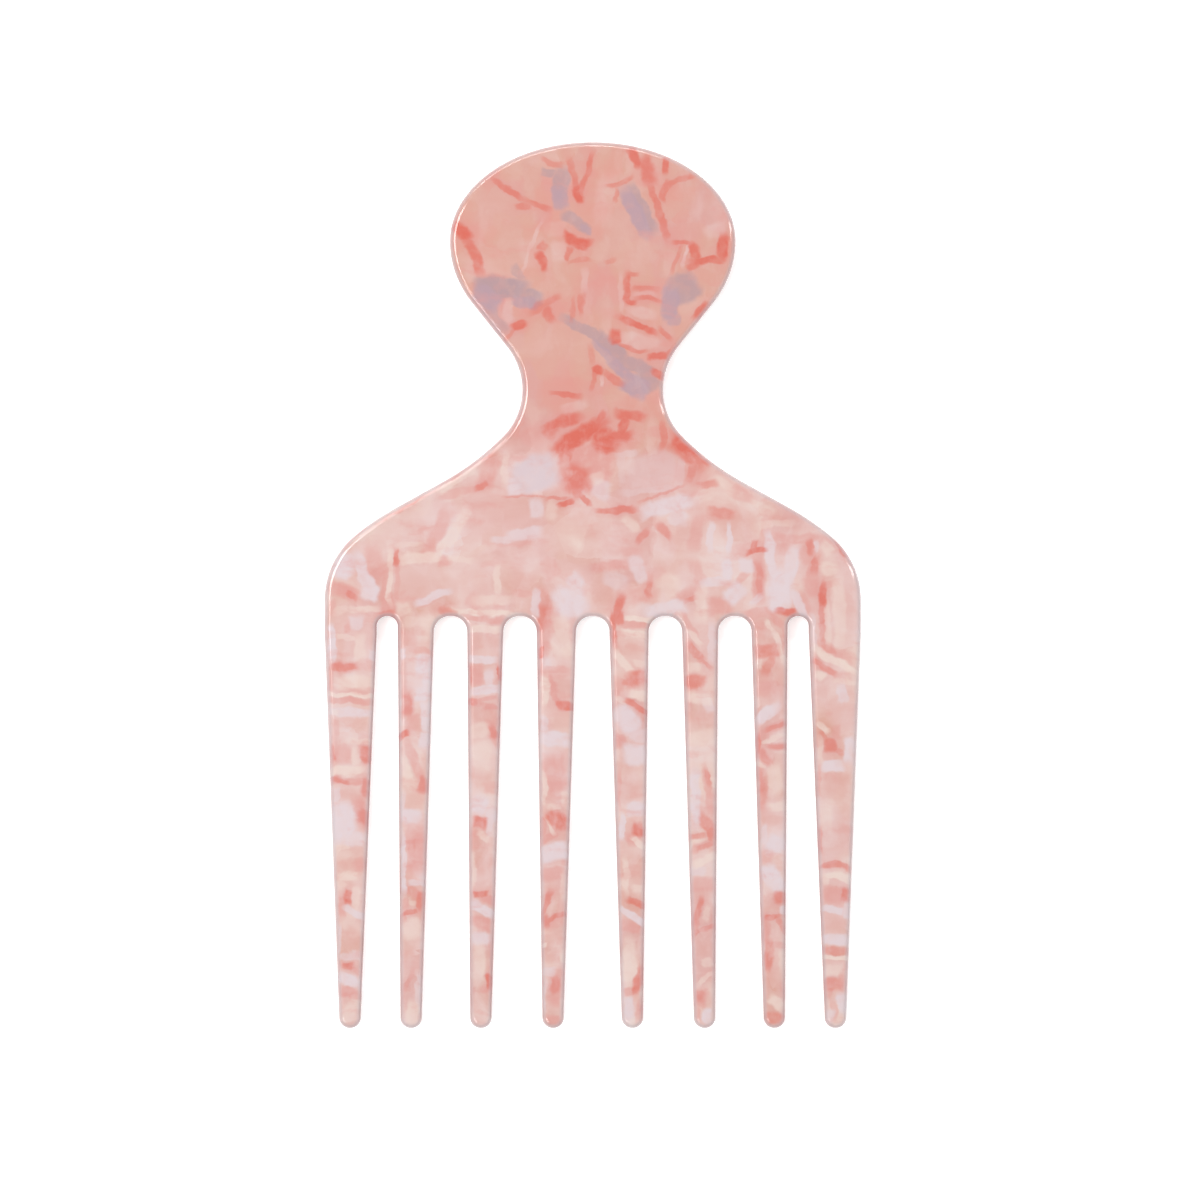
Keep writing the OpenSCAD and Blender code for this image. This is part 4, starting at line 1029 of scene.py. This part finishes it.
def lamp(name, place, aim, width, height, power):
    """Rectangular soft lamp at a place, turned to the point that it lights. The camera doesn't see it."""
    light = bpy.data.lights.new(name, "AREA")
    light.shape = "RECTANGLE"
    light.size = width
    light.size_y = height
    light.energy = power
    lamp_object = bpy.data.objects.new(name, light)
    lamp_object.location = place
    lamp_object.rotation_euler = (aim - lamp_object.location).to_track_quat("-Z", "Y").to_euler()
    lamp_object.visible_camera = False
    bpy.context.scene.collection.objects.link(lamp_object)


def open_air(net):
    """1 for rays that show a thing itself or its mirror image, and 0 for rays that light it."""
    rays = net.node("ShaderNodeLightPath").outputs
    direct = net.math("MAXIMUM", rays["Is Camera Ray"], rays["Is Glossy Ray"])
    return net.math("MAXIMUM", direct, rays["Is Transmission Ray"])


def pale_floor(levels):
    """Matt pale floor that fades into the white background further out."""
    material = bpy.data.materials.new("pale_floor")
    material.use_nodes = True
    net = Net(material.node_tree)
    place = net.node("ShaderNodeTexCoord").outputs["Object"]
    grain = net.math("MULTIPLY", net.noise(place, GRAIN_SCALE, DETAIL), GRAIN_COVER)
    matt = net.node("ShaderNodeBsdfPrincipled", {
        "Base Color": net.tinted((*levels.floor, 1.0), GRAIN_TINT, grain), "Roughness": FLOOR_ROUGHNESS,
        "Specular IOR Level": 0.0})
    glow = net.smooth(net.vector("LENGTH", place, out="Value"), *GLOW_REACH, *GLOW_LEVELS)
    strength = net.math("MULTIPLY", glow, open_air(net))
    light = net.node("ShaderNodeEmission", {"Color": WHITE, "Strength": strength})
    both = net.node("ShaderNodeAddShader", {0: matt.outputs[0], 1: light.outputs[0]})
    net.node("ShaderNodeOutputMaterial", {0: both.outputs[0]})
    return material


def set_world(levels):
    """Even light from all round, whose picture is white at the horizon and dimmer overhead."""
    world = bpy.data.worlds.new("plain_room")
    world.use_nodes = True
    bpy.context.scene.world = world
    net = Net(world.node_tree)
    height = net.parts(net.node("ShaderNodeTexCoord").outputs["Generated"])[2]
    picture = net.smooth(height, *DIM_HEIGHTS, 1.0, levels.sky)
    strength = net.blend(levels.sky, picture, open_air(net))
    light = net.node("ShaderNodeBackground", {"Color": WHITE, "Strength": strength})
    net.node("ShaderNodeOutputWorld", {0: light.outputs[0]})


class CombOperator:
    """What every operator here shares."""

    bl_options = {"REGISTER", "UNDO"}


class COMB_OT_grip_head(CombOperator, bpy.types.Operator):
    """Builds the oval grip, from the waist to the crown"""

    bl_idname = "comb.grip_head"
    bl_label = "Grip Head"

    def execute(self, context):
        outline = Outline(context.scene.comb_sizes)
        rounded_sheet("grip_head", outline.grip[:-1], mirrored(outline.grip), outline)
        return {"FINISHED"}


class COMB_OT_shoulder_plate(CombOperator, bpy.types.Operator):
    """Builds the shoulders with the round roots of the gaps"""

    bl_idname = "comb.shoulder_plate"
    bl_label = "Shoulder Plate"

    def execute(self, context):
        outline = Outline(context.scene.comb_sizes)
        crest = np.vstack([mirrored(outline.shoulder)[::-1], outline.shoulder])
        rounded_sheet("shoulder_plate", outline.plate_foot(), crest, outline)
        return {"FINISHED"}


class COMB_OT_inner_teeth(CombOperator, bpy.types.Operator):
    """Builds the six inner teeth"""

    bl_idname = "comb.inner_teeth"
    bl_label = "Inner Teeth"

    def execute(self, context):
        outline = Outline(context.scene.comb_sizes)
        for node in INNER_TEETH:
            right, left = outline.tooth(int(node[-1]) - 1, 1 if "right" in node else -1)
            rounded_sheet(node, right, left, outline)
        return {"FINISHED"}


class COMB_OT_guard_teeth(CombOperator, bpy.types.Operator):
    """Builds the two broad outer teeth"""

    bl_idname = "comb.guard_teeth"
    bl_label = "Guard Teeth"

    def execute(self, context):
        outline = Outline(context.scene.comb_sizes)
        for node in GUARD_TEETH:
            right, left = outline.tooth(OUTER, 1 if "right" in node else -1)
            rounded_sheet(node, right, left, outline)
        return {"FINISHED"}


class COMB_OT_stage(CombOperator, bpy.types.Operator):
    """Sets the pale floor, the soft lamps, the room and the camera straight above the comb"""

    bl_idname = "comb.stage"
    bl_label = "Stage"

    def execute(self, context):
        scene = context.scene
        levels = scene.comb_levels
        around = FLOOR_RADIUS * facing(np.linspace(0, 2 * np.pi, FLOOR_CORNERS, endpoint=False))
        corners = np.column_stack([around, np.full(FLOOR_CORNERS, FLOOR_HEIGHT)])
        mesh = bpy.data.meshes.new("pale_floor")
        mesh.from_pydata(corners.tolist(), [], [list(range(FLOOR_CORNERS))])
        mesh.materials.append(pale_floor(levels))
        floor = bpy.data.objects.new("pale_floor", mesh)
        scene.collection.objects.link(floor)
        floor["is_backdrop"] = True

        low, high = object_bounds()
        for name, place, width, height in LAMPS:
            lamp(name + "_lamp", place, (low + high) / 2, width, height, getattr(levels, name))
        set_world(levels)

        camera = bpy.data.cameras.new("overhead_camera")
        camera.sensor_width = SENSOR
        camera.lens = LENS
        camera.clip_start = NEAREST
        camera.clip_end = FARTHEST
        overhead = bpy.data.objects.new("overhead_camera", camera)
        overhead.location = (AIM[0], AIM[1], AIM[2] + FIELD * LENS / SENSOR)
        scene.collection.objects.link(overhead)
        scene.camera = overhead
        scene.view_settings.view_transform = "Standard"
        return {"FINISHED"}


class COMB_PT_panel(bpy.types.Panel):
    """Sidebar panel with the comb's sizes, tints and steps"""

    bl_idname = "COMB_PT_panel"
    bl_label = "Pick Comb"
    bl_space_type = "VIEW_3D"
    bl_region_type = "UI"
    bl_category = "Pick Comb"

    def draw(self, context):
        layout = self.layout
        for step in STEPS:
            layout.operator(step.bl_idname)
        for group, holder in GROUPS.items():
            box = layout.box()
            for name in group.__annotations__:
                box.prop(getattr(context.scene, holder), name)


STEPS = (COMB_OT_grip_head, COMB_OT_shoulder_plate, COMB_OT_inner_teeth, COMB_OT_guard_teeth, COMB_OT_stage)
GROUPS = {CombSizes: "comb_sizes", AcetateTints: "comb_tints", StageLevels: "comb_levels"}


def register():
    """Adds the property groups, the steps and the panel to Blender."""
    for group, name in GROUPS.items():
        bpy.utils.register_class(group)
        setattr(bpy.types.Scene, name, bpy.props.PointerProperty(type=group))
    for step in STEPS + (COMB_PT_panel,):
        bpy.utils.register_class(step)


def unregister():
    """Takes them out again."""
    for step in reversed(STEPS + (COMB_PT_panel,)):
        bpy.utils.unregister_class(step)
    for group, name in GROUPS.items():
        delattr(bpy.types.Scene, name)
        bpy.utils.unregister_class(group)


def main():
    """Runs every step in order."""
    register()
    for step in STEPS:
        area, name = step.bl_idname.split(".")
        getattr(getattr(bpy.ops, area), name)()


if __name__ == "__main__":
    main()
